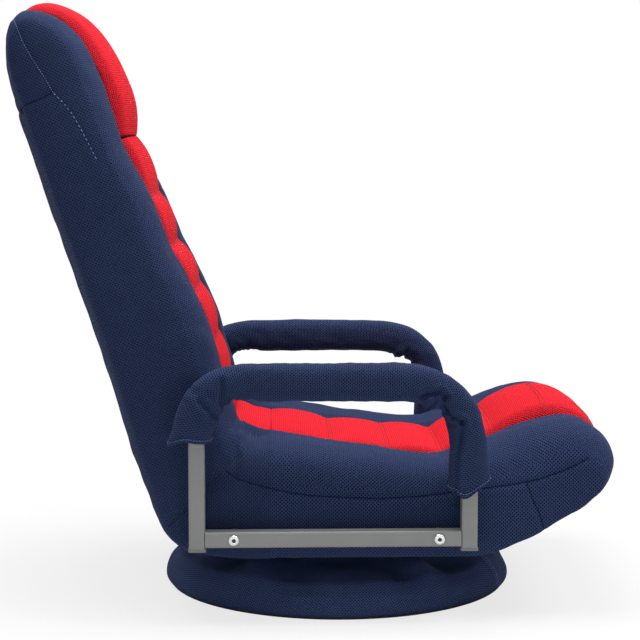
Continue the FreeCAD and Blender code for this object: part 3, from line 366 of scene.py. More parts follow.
def coverColumns():
    # one dictionary of arrays for the columns round the skin; each stretch leaves its last one to the next
    parts = []

    def add(rim, anchor, shape, turn, half, recess=0.0, panel=100.0, into="", share=0.0):
        # the cross shape goes over into another by a share
        count = len(rim)
        weights = [(key == shape) * (1 - share) + (key == into) * share for key in crossShapes]
        part = {"rim": rim, "anchor": np.broadcast_to(anchor, (count, 2)),
                "weights": np.stack([np.broadcast_to(weight, count) for weight in weights], -1)}
        for key, value in (("turn", turn), ("half", half), ("recess", recess), ("panel", panel)):
            part[key] = np.broadcast_to(value, count)
        parts.append({key: value[:-1] for key, value in part.items()})

    def seatWidth(y):
        return seatHalf - 5 * smoothstep(-150, noseBack, y)

    def backWidth(s):
        return creaseHalf - 3 + 3 * smoothstep(150, backStart, s) - 2 * smoothstep(480, headStart, s)

    seatY = np.linspace(seatRear, noseBack, columns["seat"])
    seatMiddle = softened(np.interp(seatY, [noseBack, -228, -160, seatRear], [188, 146, 131, 128]), 2)
    seatAnchor = np.stack([seatY, seatMiddle], -1)
    backS = np.linspace(backStart, headStart, columns["back"])
    backAnchor = onBack(backS, np.interp(backS, [backStart, 520, headStart], [20, 18, 8]))
    frontLine, rearLine = backFront[backFront[:, 1] > 5], backRear[backRear[:, 1] < 0]
    # under the seat from its rear edge, round its nose and back along its top
    rim = np.stack([seatY, heightsAt(seatUnder, seatY)], -1)
    add(rim, seatAnchor, "seatUnder", (seatY - seatRear) / 100, seatWidth(seatY))
    nose = np.concatenate([seatUnder[seatUnder[:, 0] <= noseBack], seatTop[seatTop[:, 0] <= noseBack][1:]])
    t = np.linspace(0, 1, columns["nose"])
    add(softened(resampled(nose, len(t)), 0.7), seatAnchor[-1], "seatUnder", -3.75, seatWidth(noseBack),
        12 * smoothstep(0.45, 0.62, t), panelHalf["front"], "seatTop", smoothstep(0.1, 0.8, t))
    backward = seatY[::-1]
    rim = np.stack([backward, heightsAt(seatTop[seatTop[:, 1] > 190], backward)], -1)
    panel = np.interp(backward, [noseBack, -120, seatRear], [panelHalf["front"], 112, panelHalf["rear"]])
    add(rim, seatAnchor[::-1], "seatTop", (backward - seatRear) / 100, seatWidth(backward), 13.0, panel)
    # the crease between seat and back
    t = np.linspace(0, 1, columns["crease"])
    soft = smoothstep(0, 1, t)
    half = seatHalf + (creaseHalf - seatHalf) * smoothstep(0.42, 1, t)
    front = arcLine([rim[-1], (110, 226), onBack(backStart, 88.0)], [-1.0, -1.0], 1.0)
    middle = resampled(arcLine([seatAnchor[0], onBack(backStart, 20.0)], [-22]), len(t))
    add(softened(resampled(front, len(t)), 1.0), middle, "seatTop", t, half, 14.0,
        np.interp(t, [0, 1], [panelHalf["rear"], panelHalf["crease"]]), "backFront", soft)
    # up the front of the back, over the head and down the rear
    widest = panelHalf["back"]
    add(onBack(backS, heightsAt(frontLine, backS)), backAnchor, "backFront", 1 + (backS - backStart) / 100,
        backWidth(backS), np.interp(backS, [backStart, 410, 473, 542, headStart], [13, 11, 7, 4, 3]),
        np.interp(backS, [backStart, 200], [panelHalf["crease"], widest]))
    head = [(headStart, heightsAt(frontLine, headStart)), *backFront[backFront[:, 0] > headStart],
            *backRear[1:][backRear[1:, 0] > headStart], (headStart, heightsAt(rearLine, headStart))]
    t = np.linspace(0, 1, columns["head"])
    add(onBack(*softened(resampled(np.array(head), len(t)), 0.8).T), backAnchor[-1], "backFront", 6.12,
        backWidth(headStart), 3 * (1 - smoothstep(0.45, 0.6, t)), widest, "backRear", smoothstep(0.2, 0.8, t))
    downward = backS[::-1]
    add(onBack(downward, heightsAt(rearLine, downward)), backAnchor[::-1], "backRear",
        1 + (downward - backStart) / 100, backWidth(downward))
    # and round the chair's rear corner
    corner = [*onBack(np.array([100, 40, 2, -12.5, -24.5]), np.array([-45, -44, -37.5, -33, -25])),
              (189.0, 80.5), (150.0, 79.0), (seatRear, 79.0)]
    rear = softened(resampled(arcLine(corner, [0.5, 0.6, 0.5, 0.8, 0.8, 0.3, 0]), 200), 3)
    add(resampled(rear, len(half)), middle[::-1], "seatUnder", np.linspace(1, 0, len(half)), half[::-1],
        into="backRear", share=soft[::-1])
    return {key: np.concatenate([part[key] for part in parts]) for key in parts[0]}


def coverSkin():
    col = coverColumns()
    rim, anchor, panel = col["rim"], col["anchor"], col["panel"]
    weights = softened(col["weights"], 3, closed=True)
    tables = np.stack([crossTable(*shape) for shape in crossShapes.values()])
    cross = np.einsum("ck,krs->rcs", weights, tables)
    ahead = unit(np.roll(rim, -1, axis=0) - np.roll(rim, 1, axis=0))
    outward = leftOf(ahead)
    row = np.arange(-inner, inner + 1)[:, None]
    step = np.abs(row)
    x = np.sign(row) * cross[step[:, 0], :, 0] * col["half"]
    across = np.abs(x)
    # the skin steps down under the red panel, and the seat's nose bows forward in the middle
    sunk = col["recess"] * (1 - smoothstep(panel - 7, panel + 3, across))
    yz = anchor + (rim - anchor) * cross[step[:, 0], :, 1:] - outward * sunk[:, :, None]
    y, z = yz[..., 0], yz[..., 1]
    nose = smoothstep(-225, -300, y) * (z < 300) * 6 * (1 - (x / seatHalf) ** 2)
    points = np.stack([x, y - nose, z], -1)
    # the map runs along the skin and across it
    v = np.apply_along_axis(running, 0, spans(points))
    v -= v[inner]
    u = lengths(np.concatenate([rim, rim[:1]]))
    mesh = gridMesh("cover", points, u, np.concatenate([v, v[:, :1]], 1), wrapCols=True)
    panelled = col["recess"] > 1
    flat = (weights[:, 1] > 0.5) & (step < rowsOut) & (z < 84)
    onSeam = (step == rowsOut) | (step == inner) | flat | panelled & (np.abs(across - panel) < 5)
    storeMark(mesh, "sewn", np.where(onSeam, 1.0, np.where(panelled & (across < panel), 0.9, 0.0)))
    storeMark(mesh, "turn", np.broadcast_to(col["turn"], x.shape))
    # the sides of the bolsters beside the crease count as wall too
    wallFrom = rowsOut - 5 * ((col["turn"] > -0.25) & (col["turn"] < 1.1) & panelled)
    storeMark(mesh, "wall", step > wallFrom)
    edited(mesh, welded)
    return link(mesh, "cover")


def flatWalls(mesh):
    # the map of the side walls lies flat on the chair's side, and follows the lean of the back
    mean, corner, owner = faceMeans(mesh, "wall")
    layer = mesh.uv_layers["UVMap"].data
    uv = read(layer, "uv", 2)
    y, z = coordinates(mesh)[corner][:, 1:].T * mm
    high = readMark(mesh, "turn")[corner] > 0.6
    y, z = np.where(high, (y * leanSin + z * leanCos, z * leanSin - y * leanCos), (y, z))
    uv = np.where(mean[owner][:, None] > 0.01, np.stack([y, z], -1), uv)
    layer.foreach_set("uv", uv.ravel().astype(np.float32))


cover = coverSkin()
inflated(cover, cap=4.0, pressure=3.0)
subdivided(cover)
print("cover skin", len(cover.data.vertices))


# Channelled red pads, each a closed form swelled between its sewn lines

padShape = {
    "rows": 15, "step": 6.5, "seamHalf": 2.4, "pinch": 2.2, "edge": 14,
    "section": [(0.0, 1.0), (0.52, 0.95), (0.80, 0.80), (0.94, 0.58), (0.985, 0.36), (1.0, 0.16)],
}
padSeams = {}        # for each pad, the lines its seams are stitched along


def channelPad(name, seams, half, leaning=False, fullness=2.4, plain=False):
    # seams: (seam point, crown of the channel after it, foot point), in the pad's own plane
    top, foot, sewn, mark = [], [], [], []
    for index, ((a, crown, footA), (b, _, footB)) in enumerate(zip(seams, seams[1:])):
        a, b, footA, footB = (np.array(p, float) for p in (a, b, footA, footB))
        run = b - a
        length = np.hypot(*run)
        side = leftOf(run) / length
        inset = padShape["seamHalf"] / length
        n = max(5, int(length * (1 - 2 * inset) / padShape["step"]))
        for t in (0.0, *np.linspace(inset, 1 - inset, n + 1)):
            q = np.clip((t - inset) / (1 - 2 * inset), 0, 1)
            top.append(a + run * t + side * crown * (1 - abs(2 * q - 1) ** fullness))
            foot.append(footA + (footB - footA) * t)
            sewn.append(float(q in (0.0, 1.0) and not plain))
            mark.append(index + t)
    top, foot = np.array([*top, seams[-1][0]]), np.array([*foot, seams[-1][2]])
    sewn, mark = np.array([*sewn, 1.0]), np.array([*mark, len(seams) - 1.0])
    if plain:
        top = softened(top, 1.6)
    along = lengths(top)
    # places across the pad, evenly spaced round its section
    rows = padShape["rows"]
    size = (100, padShape["edge"])
    section = softened(resampled(np.array(padShape["section"]) * size, 300), 6)
    cross = resampled(section, rows + 1) / size
    widths = np.interp(along / along[-1], *half) - padShape["pinch"] * softened(sewn, 0.8)
    ring = [(sign * widths * cross[j, 0], foot + (top - foot) * cross[j, 1], j)
            for sign, order in ((-1, range(rows, 0, -1)), (1, range(rows + 1))) for j in order]
    under = foot - (top - foot) / np.maximum(np.linalg.norm(top - foot, axis=1, keepdims=True), 1) * 2.0
    ring += [(widths * 0.99, under, rows), (-widths * 0.99, under, rows)]
    points = np.stack([np.column_stack([x, onBack(*flat.T) if leaning else flat]) for x, flat, _ in ring])
    v = running(spans(points).mean(axis=1))
    mesh = gridMesh(name, points, along, np.append(v, v[-1])[:, None], wrapRows=True)
    held = np.where(np.array([j >= rows - 1 for _, _, j in ring])[:, None], 1.0, sewn)
    held[:, 0] = held[:, -1] = 1.0
    storeMark(mesh, "sewn", held)
    edited(mesh, filled)
    piece = link(mesh, name)
    inflated(piece, cap=3.5, pressure=5.0)
    subdivided(piece)
    smooth(piece)
    beside = [c for c in range(2, len(along) - 2) if sewn[c] == 1 and mark[c] % 1 > 1e-6]
    padSeams[name] = [points[:-2, c] for c in beside]
    return piece


backRecess = [
    (100, 74), (172, 76), (222, 81), (287, 75), (340, 65), (410, 61), (473, 55), (542, 63), (600, 57),
    (650, 40), (676, 0)]
rear, crease, back, front = (panelHalf[key] for key in ("rear", "crease", "back", "front"))
pads = {
    # half: half widths at shares of the pad's length
    "seatPad": {
        "half": ([0, 0.15, 0.45, 1], [110, front, 113, rear]),
        "seams": [
            ((-347, 190), 4.5, (-328, 190)), ((-334, 232), 9.0, (-314, 220)),
            ((-268, 260.5), 6.0, (-265, 228)), ((-200, 226), 5.5, (-198, 206)),
            ((-133, 194), 4.5, (-133, 182)), ((-63, 203), 3.8, (-63, 185)),
            ((11, 210), 6.0, (11, 195)), ((91, 225), 0.0, (91, 206.5))]},
    "backPad": {
        "leaning": True, "half": ([0, 0.3, 1], [crease, back, back]),
        "seams": [((s, d), crown, (s, np.interp(s, *zip(*backRecess)) - 1)) for s, d, crown in [
            (100, 84, 5.0), (131, 88, 5.5), (200, 91.5, 7.5), (272, 88.5, 7.5), (337, 77.5, 7.5),
            (407, 74.5, 6.5), (487, 70, 0)]]},
    "headPad": {
        "leaning": True, "fullness": 2.0, "plain": True, "half": ([0, 0.8, 1], [back, 111, 104]),
        "seams": [
            ((487, 69), 8.5, (490, 50)), ((572, 81.5), 2.5, (572, 55)), ((633, 69.5), 5.0, (623, 42)),
            ((671, 42.5), 4.5, (651, 30)), ((687, 12), 2.5, (667, 6)), ((681, -12), 0.0, (666, -8))]},
    "creasePad": {
        "half": ([0, 1], [rear, crease]),
        "seams": [
            ((89.2, 224.2), 0.0, (89, 207.5)), ((112, 229), -0.4, (119, 209)),
            (onBack(99.6, 83.6), 0.0, onBack(100.0, 72.0))]},
}
seatPad, backPad, headPad, creasePad = (channelPad(name, **look) for name, look in pads.items())
print("pads made")


# Armrest sleeves: a cloth tube over foam, hemmed at both ends

sleeveShape = {
    "x": 255.0, "wide": 46.5, "round": 96, "inset": 0.8,
    "square": 2.9,         # 2 for a round section, more for a squarer one
    # (y, z, heading in degrees, depth) of the section, from the rear hem to the front one
    "sections": [
        (187, 232, 90, 52), (183, 257, 95, 54), (173, 279, 103, 57), (163, 294, 119, 49),
        (149, 301.5, 143, 46.5), (130, 304.3, 168, 47), (112, 304.5, 180, 47.5), (-20, 304.5, 180, 47.5),
        (-82, 303.8, 180, 47), (-115, 296, 210, 45.5), (-139, 275, 238, 45.5), (-149.5, 249, 262, 46),
        (-152, 212, 270, 48), (-153, 172, 270, 52)],
    # creases sunk into the outer face and the inner bend, as ((y, z) points, depth, width)
    "creases": [
        ([(-92, 289), (-104, 293), (-117, 294), (-121, 288)], 4.2, 3.2),
        ([(-121, 288), (-117, 277), (-121, 269), (-131, 262), (-141, 259)], 3.8, 3.0),
        ([(-142, 258), (-141.5, 244), (-139.5, 230), (-136, 217), (-134.5, 190), (-134, 166)], 4.2, 2.6),
        ([(-112, 262), (-121, 257), (-130, 253), (-140, 256)], 2.8, 2.6),
        ([(149, 309), (148.5, 297), (150, 284), (146, 272)], 3.6, 3.0),
        ([(176, 284), (168, 277), (159, 267), (147, 261)], 4.0, 3.4),
        ([(186, 296), (174, 290), (163, 290)], 1.6, 4.0),
        ([(164, 262), (158, 252), (157, 238)], 2.0, 4.0),
    ],
    # gathers inside the bends: (bend's distance from its end, spread, count, depth)
    "rearGathers": (92.0, 30.0, 6, 2.2), "frontGathers": (128.0, 24.0, 6, 3.2),
    "bunch": 5.5, "bunchAt": 142.0,       # how far the cloth stands into the front bend, and where
    "rearDroop": 6.5,      # of the rear hem's outer corner
    "slack": 0.9,
}


def sleeve(name, sign, seed):
    shape = sleeveShape
    line = np.array(shape["sections"], float)
    at = lengths(line[:, :2])
    total = at[-1]
    along = np.linspace(0, total, int(total / 2) + 1)
    sections = softened(np.stack([np.interp(along, at, k) for k in line.T], -1), 6.0)
    y, z, heading, depth = sections.T[:, :, None]
    fromRear, fromFront = along[:, None], total - along[:, None]
    turns = np.arange(shape["round"]) / shape["round"] * 2 * math.pi
    unitX, unitO = (np.sign(k) * np.abs(k) ** (2 / shape["square"]) for k in (np.cos(turns), np.sin(turns)))
    outside = np.clip(unitO, 0, 1)
    wide = shape["wide"] / 2 - shape["inset"] + 1.5 * np.exp(-fromRear / 14) + 1.0 * np.exp(-fromFront / 14)
    # the rear hem stands out to a point behind, and both hems droop
    o = unitO * (depth / 2 - shape["inset"]) + 4.5 * hump(fromRear, 3, 9) * outside ** 4
    hem = np.exp(-fromFront / 24) * (9 * hump(unitO, -0.3, 0.45) - 13 * outside ** 1.5)
    hem -= np.exp(-fromRear / 20) * (shape["rearDroop"] * outside ** 3 - 2.5 * hump(unitO, 0.3, 0.4))
    sinH, cosH = np.sin(np.radians(heading)), np.cos(np.radians(heading))
    points = np.stack([unitX * wide, y + sinH * o + cosH * hem, z - cosH * o + sinH * hem], -1)
    beside = np.roll(points, -1, axis=1) - np.roll(points, 1, axis=1)
    normal = unit(np.cross(beside, np.gradient(points, axis=0)))
    normal *= np.sign(((points - points.mean(axis=1, keepdims=True)) * normal).sum())
    # uneven gathers at the inside of each bend
    source = np.random.default_rng(seed)
    inside = smoothstep(0.1, -0.8, unitO)
    push = np.zeros(points.shape[:2])
    for key in ("rearGathers", "frontGathers"):
        centre, spread, count, deepness = shape[key]
        if key == "frontGathers":
            centre = total - centre
        for at in centre + spread * np.linspace(-1, 1, count) + source.uniform(-4, 4, count):
            skew = source.uniform(-7, 7) * np.sin(turns + source.uniform(0, 6))
            narrow = source.uniform(3.4, 5.6)
            push -= deepness * source.uniform(0.5, 1.0) * inside * hump(fromRear + skew, at, narrow)
    bunch = total - shape["bunchAt"]
    push += shape["bunch"] * hump(fromRear, bunch, 13) * smoothstep(-0.2, -0.9, unitO)
    push -= 3.5 * hump(fromRear, bunch + 27, 7) * smoothstep(0.0, -0.8, unitO)
    # long slack folds, then the creases
    flat = points.reshape(-1, 3)
    slack = shape["slack"] * waves(flat * (1, 0.55, 1), 70, seed) + 0.5 * waves(flat, 26, seed + 1, 2)
    push += slack.reshape(push.shape)
    outer = smoothstep(-0.55, 0.1, unitX)
    for crease, depth, width in shape["creases"]:
        crease = softened(resampled(np.array(crease, float), 24), 1.2)
        gap = distanceTo(flat[:, 1:], crease).reshape(push.shape)
        push -= depth * outer * (hump(gap, 0, width) - 0.35 * hump(gap, 2.2 * width, 0.9 * width))
    # hems are sewn down, and the cloth turns in there
    for gap in (fromRear, fromFront):
        push += 0.6 * hump(gap, 2.0, 2.4) - 0.9 * hump(gap, 6.0, 1.8)
    points = points + normal * push[:, :, None]
    ends = []
    for edge, beyond in ((points[0], points[1]), (points[-1], points[-2])):
        run = unit((beyond - edge).mean(axis=0))
        ends.append([edge + run * deep + (edge.mean(axis=0) - edge) * share
                     for deep, share in ((0.2, 0.05), (2.5, 0.085), (12, 0.10), (14, 0.45))])
    grid = np.concatenate([ends[0][::-1], points, ends[1]])
    grid[:, :, 0] = sign * (shape["x"] + grid[:, :, 0])
    girth = np.linalg.norm(np.roll(grid, -1, axis=1) - grid, axis=2).mean(axis=0)
    mesh = gridMesh(name, grid, running(spans(grid).mean(axis=1))[:, None], running(girth), wrapCols=True)
    edited(mesh, welded)
    piece = link(mesh, name)
    smooth(piece)
    # the rows that the hem stitches follow, as closed rounds
    return piece, [np.concatenate([grid[row], grid[row][:1]]) for row in (6, len(grid) - 7)]


sleeves, hemRows = {}, {}
for side, sign, seed in (("left", 1, 31), ("right", -1, 47)):
    sleeves[side], hemRows[side] = sleeve("armSleeve_" + side, sign, seed)
print("sleeves made")


# Cloth cover of the base, drawn over ring and legs, sunk between them, down to the floor

baseShape = {
    "rows": 48, "columns": 216, "hub": 100,
    "profile": [(100, 71.2), (121, 72.5), (172, 57), (207, 46), (221, 36), (231, 22), (234, 8), (227, 1.2),
                (213, 1.0)],
    "bows": [0, -2.5, 1.0, 2.5, 1.6, 1.0, 0.6, 0.8],
    # hollows and ridges: (degrees round from the chair's right side, width in degrees, radius, spread, depth)
    "folds": [
        (49, 8, 182, 28, 10.5), (17, 7, 190, 32, 5.0), (-20, 5.5, 186, 32, 6.0), (-46, 9.5, 184, 28, 12.0),
        (-32, 2.8, 190, 34, -5.5), (34, 3, 180, 32, -3.0), (64, 3.0, 186, 28, -3.0), (-84, 7, 186, 28, 7.5),
        (88, 6, 180, 30, 7.5), (118, 8, 186, 28, 9.0), (143, 6, 180, 30, 6.0), (171, 9, 188, 28, 9.0),
        (204, 6, 182, 30, 6.5), (236, 8, 186, 28, 9.0), (259, 3, 186, 32, -3.5)],
    "sag": 2.6, "sagRadius": 172, "sagWidth": 26,
    "seams": (-64.0, 116.0), "ridge": 1.5, "ridgeWidth": 4.0, "beside": 3.2,
    "thick": 0.0012,       # in metres
}
baseLine = arcLine(baseShape["profile"], baseShape["bows"])


def upright(bm):
    if sum(f.normal.z for f in bm.faces if f.calc_center_median().z > 0.04) < 0:
        bmesh.ops.reverse_faces(bm, faces=bm.faces)


def baseCover():
    rows, cols = baseShape["rows"], baseShape["columns"]
    line = softened(resampled(baseLine, rows), 0.7)
    ahead = unit(np.gradient(line, axis=0))
    out = leftOf(ahead)
    degrees = np.arange(cols) / cols * 360
    angle = np.radians(degrees)
    radius, height = line[:, :1], line[:, 1:]
    # taut over the four legs, slack between them
    sag = baseShape["sag"] * hump(radius, baseShape["sagRadius"], baseShape["sagWidth"])
    push = -sag * (1 - np.abs(np.cos(2 * (angle - math.pi / 4))) ** 1.3)
    for at, width, middle, spread, depth in baseShape["folds"]:
        turn = (180 - degrees - at + 540) % 360 - 180 + (radius - middle) * 0.05 * np.sign(depth)
        fold = 0.3 * abs(depth) * hump(np.abs(turn), 1.7 * width, 0.6 * width)
        push += (fold - depth * np.exp(-np.abs(turn / width) ** 2.5)) * hump(radius, middle, spread)
    for at in baseShape["seams"]:
        turn = (180 - degrees - at + 540) % 360 - 180
        push += baseShape["ridge"] * hump(np.radians(turn) * radius, 0, baseShape["ridgeWidth"])
    spots = np.stack([radius * np.cos(angle), radius * np.sin(angle), height + 0 * angle], -1).reshape(-1, 3)
    push += (1.2 * waves(spots, 95, 9) + 0.5 * waves(spots, 34, 10, 2)).reshape(rows, cols)
    push *= smoothstep(111, 128, radius) * smoothstep(6, 26, height)
    wide, tall = radius + out[:, :1] * push, height + out[:, 1:] * push
    points = np.stack([wide * np.cos(angle), wide * np.sin(angle), np.maximum(tall, 0.8)], -1)
    # the map is the cloth's own flat cut
    spread = (baseShape["hub"] + lengths(line))[:, None]
    angle = np.radians(np.arange(cols + 1) / cols * 360)
    mesh = gridMesh("baseCover", points, spread * np.cos(angle), spread * np.sin(angle), wrapCols=True)
    edited(mesh, upright)
    piece = link(mesh, "baseCover")
    subdivided(piece)
    # a line of stitches on either side of each seam
    seams = []
    tree = treeOf(piece)
    for at in baseShape["seams"]:
        cos, sin = math.cos(math.radians(180 - at)), math.sin(math.radians(180 - at))
        for side in (-baseShape["beside"], baseShape["beside"]):
            spots = [Vector((cos * r - sin * side, sin * r + cos * side, z)) * mm for r, z in line[6:-4]]
            seams.append(np.array([tree.find_nearest(spot)[0] for spot in spots]) / mm)
    modified(piece, "SOLIDIFY", thickness=baseShape["thick"], offset=-1)
    smooth(piece)
    return piece, seams


baseSkin, baseSeams = baseCover()
print("base cover made")


# Sewn lines on the navy skin

def sideLine(tree, flat, sign, step=3.0):
    # drapes a (y, z) line onto one side of the skin, as places and normals
    flat = np.array(flat, float)
    flat = softened(resampled(flat, max(3, int(lengths(flat)[-1] / step))), 1.5)
    hits = [tree.ray_cast(Vector((sign * 400, y, z)) * mm, Vector((-sign, 0, 0))) for y, z in flat]
    return tuple(np.array([hit[k] for hit in hits if hit[0]]) * scale for k, scale in ((0, 1 / mm), (1, 1)))


def laidOn(piece, lines, lift=0.15):
    # each line's points moved onto the piece's skin
    tree = treeOf(piece)
    made = []
    for line in lines:
        spots = resampled(line, max(3, int(lengths(line)[-1] / 1.5)))
        places, faces = zip(*(tree.find_nearest(Vector(spot * mm))[:2] for spot in spots))
        made.append(np.array(places) / mm + np.array(faces) * lift)
    return made


def grooved(mesh, lines, width, depth):
    # presses narrow furrows into a mesh along lines
    co = coordinates(mesh)
    push = np.zeros(len(co))
    for line in lines:
        low, high = line.min(axis=0) - 4 * width, line.max(axis=0) + 4 * width
        near = np.nonzero(((co > low) & (co < high)).all(axis=1))[0]
        push[near] = np.minimum(push[near], -depth * hump(distanceTo(co[near], line), 0, width))
    pushed(mesh, push)


# (y, z) of the sewn lines, as drawn on either side of the chair
sewnLines = {
    "cap": [(404, 746), (398, 737), (390, 716), (381, 700), (371, 684), (362, 670), (354, 655.5)],
    "capAcross": [(354, 655), (370, 647), (388, 640), (398, 634), (407, 630)],
    "capStitch": [
        (352, 653), (342, 643), (333, 632), (325, 619), (319, 608), (314, 598), (309, 588), (303, 576)],
    "seatSide": [
        (146, 190), (131, 181), (101, 171), (73, 164.7), (42, 159.5), (-1, 156.7), (-44, 155.2), (-94, 157.4),
        (-128, 161.5), (-181, 168), (-212, 172), (-243, 178), (-274, 189), (-303, 203)],
    "seatPanel": [(-227, 174), (-235, 153), (-244, 134), (-249, 117), (-251, 108)],
    "corner": [(146, 282), (136, 263), (131, 247), (128, 228), (128, 209), (133, 190)],
}
rearSeam = {"y": 414.0, "z": 629.0, "half": 212}


def unevenness(mesh):
    # how far each point of the skin stands out of the plain form
    co, turn = coordinates(mesh), readMark(mesh, "turn")
    across, z = np.abs(co[:, 0]), co[:, 2]
    push = 1.3 * waves(co * (1, 0.8, 0.8), 120, 11) + 0.5 * waves(co, 42, 12, 2)
    push *= np.where(z < 84, 0, 1) * np.where(across < 120, 0.2, 1)
    # the cloth is drawn into creases where the back meets the seat
    push -= hump(turn, 0.5, 0.55) * smoothstep(120, 215, across) * 2.2 * np.cos(turn * 9 + z * 0.03)
    corner = resampled(np.array(sewnLines["corner"], float), 30)
    gap = distanceTo(co[:, 1:], corner)
    behind = np.tanh((co[:, 1] - np.interp(z, corner[::-1, 1], corner[::-1, 0])) / 2.2)
    share = smoothstep(150, 205, across) * smoothstep(176, 205, z) * smoothstep(305, 270, z)
    push -= share * np.where(behind > 0, 8.0 * np.exp(-gap / 24), 3.0 * np.exp(-gap / 18)) * behind
    # the bolsters dip there
    return push - 9.5 * hump(turn, 0.4, 0.34) * smoothstep(108, 135, across) * smoothstep(175, 215, z)


def drawn(step):
    tree = treeOf(cover)
    return {key: [sideLine(tree, flat, sign, step) for sign in (-1, 1)] for key, flat in sewnLines.items()}


pushed(cover.data, unevenness(cover.data))
smooth(cover)
drawnLines = drawn(3.0)
for keys, width, depth in (
        (("cap", "capAcross", "seatSide"), 2.8, 1.7), (("seatPanel", "capStitch"), 2.6, 0.9),
        (("corner",), 3.0, 2.0)):
    grooved(cover.data, [line for key in keys for line, _ in drawnLines[key]], width, depth)
reach = np.linspace(-rearSeam["half"], rearSeam["half"], 60)
rearLine = laidOn(cover, [np.array([(x, rearSeam["y"], rearSeam["z"]) for x in reach])], 0)
grooved(cover.data, rearLine, 2.8, 1.7)
drawnLines = drawn(1.5)
flatWalls(cover.data)


def portion(name, low, high):
    # the faces of the skin whose place round it lies between two marks
    mean = faceMeans(cover.data, "turn")[0]
    fresh = cover.data.copy()
    fresh.name = name

    def cut(bm):
        bm.faces.ensure_lookup_table()
        out = [bm.faces[i] for i in np.nonzero((mean < low) | (mean >= high))[0].tolist()]
        bmesh.ops.delete(bm, geom=out, context="FACES")

    edited(fresh, cut)
    return link(fresh, name)


seatCover, creaseCover, backCover = (portion(*part) for part in (
    ("seatCover", -99, 0), ("creaseCover", 0, 1), ("backCover", 1, 99)))
bpy.data.objects.remove(cover)
print("cover split", [len(p.data.polygons) for p in (seatCover, creaseCover, backCover)])


# Node trees

class Tree:
    # short names for building one
    def __init__(self, tree):
        self.tree = tree

    def set(self, node, key, value):
        # key is a socket's name, or i with its number; a colour is three numbers as a picker shows them
        numbered = key[0] == "i" and key[1:].isdigit()
        socket = node.inputs[int(key[1:])] if numbered else node.inputs[key.replace("_", " ")]
        if isinstance(value, bpy.types.NodeSocket):
            self.tree.links.new(value, socket)
        elif isinstance(value, tuple):
            socket.default_value = linear(*value)
        else:
            socket.default_value = value

    def put(self, kind, settings=None, **inputs):
        node = self.tree.nodes.new(kind)
        for key, value in (settings or {}).items():
            setattr(node, key, value)
        for key, value in inputs.items():
            self.set(node, key, value)
        return node

    def made(self, *kind, **inputs):
        # the first output of a new node
        return self.put(*kind, **inputs).outputs[0]

    def math(self, operation, a, b=0.0, c=0.0):
        return self.made("ShaderNodeMath", {"operation": operation}, i0=a, i1=b, i2=c)

    def times(self, a, b):
        return self.math("MULTIPLY", a, b)


def linear(*colour):
    shares = [value / 255 for value in colour]
    return (*(c / 12.92 if c <= 0.04045 else ((c + 0.055) / 1.055) ** 2.4 for c in shares), 1.0)


class PointTree(Tree):
    # a geometry tree that sets one thing on each point of a mesh
    def __init__(self, name, inputs):
        super().__init__(bpy.data.node_groups.new(name, "GeometryNodeTree"))
        face = self.tree.interface
        for way in ("INPUT", "OUTPUT"):
            face.new_socket("Geometry", in_out=way, socket_type="NodeSocketGeometry")
        for label, value in inputs.items():
            kind = "NodeSocketInt" if isinstance(value, int) else "NodeSocketFloat"
            face.new_socket(label, in_out="INPUT", socket_type=kind).default_value = value
        self.given = self.put("NodeGroupInput").outputs

    def settle(self, points, thing, axis, direction, scale, material, spin=None):
        way = self.made("FunctionNodeAlignRotationToVector", {"axis": axis}, Vector=direction)
        if spin is not None:
            way = self.made("FunctionNodeRotateRotation", {"rotation_space": "LOCAL"},
                            Rotation=way, Rotate_By=spin)
        laid = self.made("GeometryNodeInstanceOnPoints",
                         Points=points, Instance=thing, Rotation=way, Scale=scale)
        laid = self.made("GeometryNodeRealizeInstances", Geometry=laid)
        laid = self.made("GeometryNodeSetMaterial", Geometry=laid, Material=material)
        self.put("NodeGroupOutput", Geometry=laid)
        return self.tree


def grown(piece, tree, values):
    # the piece becomes the plain mesh that the tree makes of it
    modifier = piece.modifiers.new("grown", "NODES")
    modifier.node_group = tree
    names = {item.name: item.identifier for item in tree.interface.items_tree if item.in_out == "INPUT"}
    for label, value in values.items():
        modifier[names[label]] = value
    applied(piece)
    smooth(piece)


class Paint(Tree):
    # a material, with the node kinds that it uses most
    def __init__(self, name):
        self.material = bpy.data.materials.new(name)
        self.material.use_nodes = True
        super().__init__(self.material.node_tree)
        self.shader = self.tree.nodes["Principled BSDF"]
        self.place = self.put("ShaderNodeTexCoord").outputs["Object"]

    def ramp(self, value, low, high, toLow=0.0, toHigh=1.0):
        return self.made("ShaderNodeMapRange", {"interpolation_type": "SMOOTHSTEP"}, Value=value,
                         From_Min=low, From_Max=high, To_Min=toLow, To_Max=toHigh)

    def mix(self, factor, a, b):
        return self.put("ShaderNodeMix", {"data_type": "RGBA"}, i0=factor, i6=a, i7=b).outputs[2]

    def noise(self, vector, scale, detail=3.0):
        return self.made("ShaderNodeTexNoise", Vector=vector, Scale=scale, Detail=detail)

    def bump(self, height, distance, strength, **under):
        return self.made("ShaderNodeBump", Height=height, Distance=distance, Strength=strength, **under)

    def apart(self, vector):
        return self.put("ShaderNodeSeparateXYZ", Vector=vector).outputs

    def done(self, **inputs):
        for key, value in inputs.items():
            self.set(self.shader, key, value)
        return self.material


# Materials

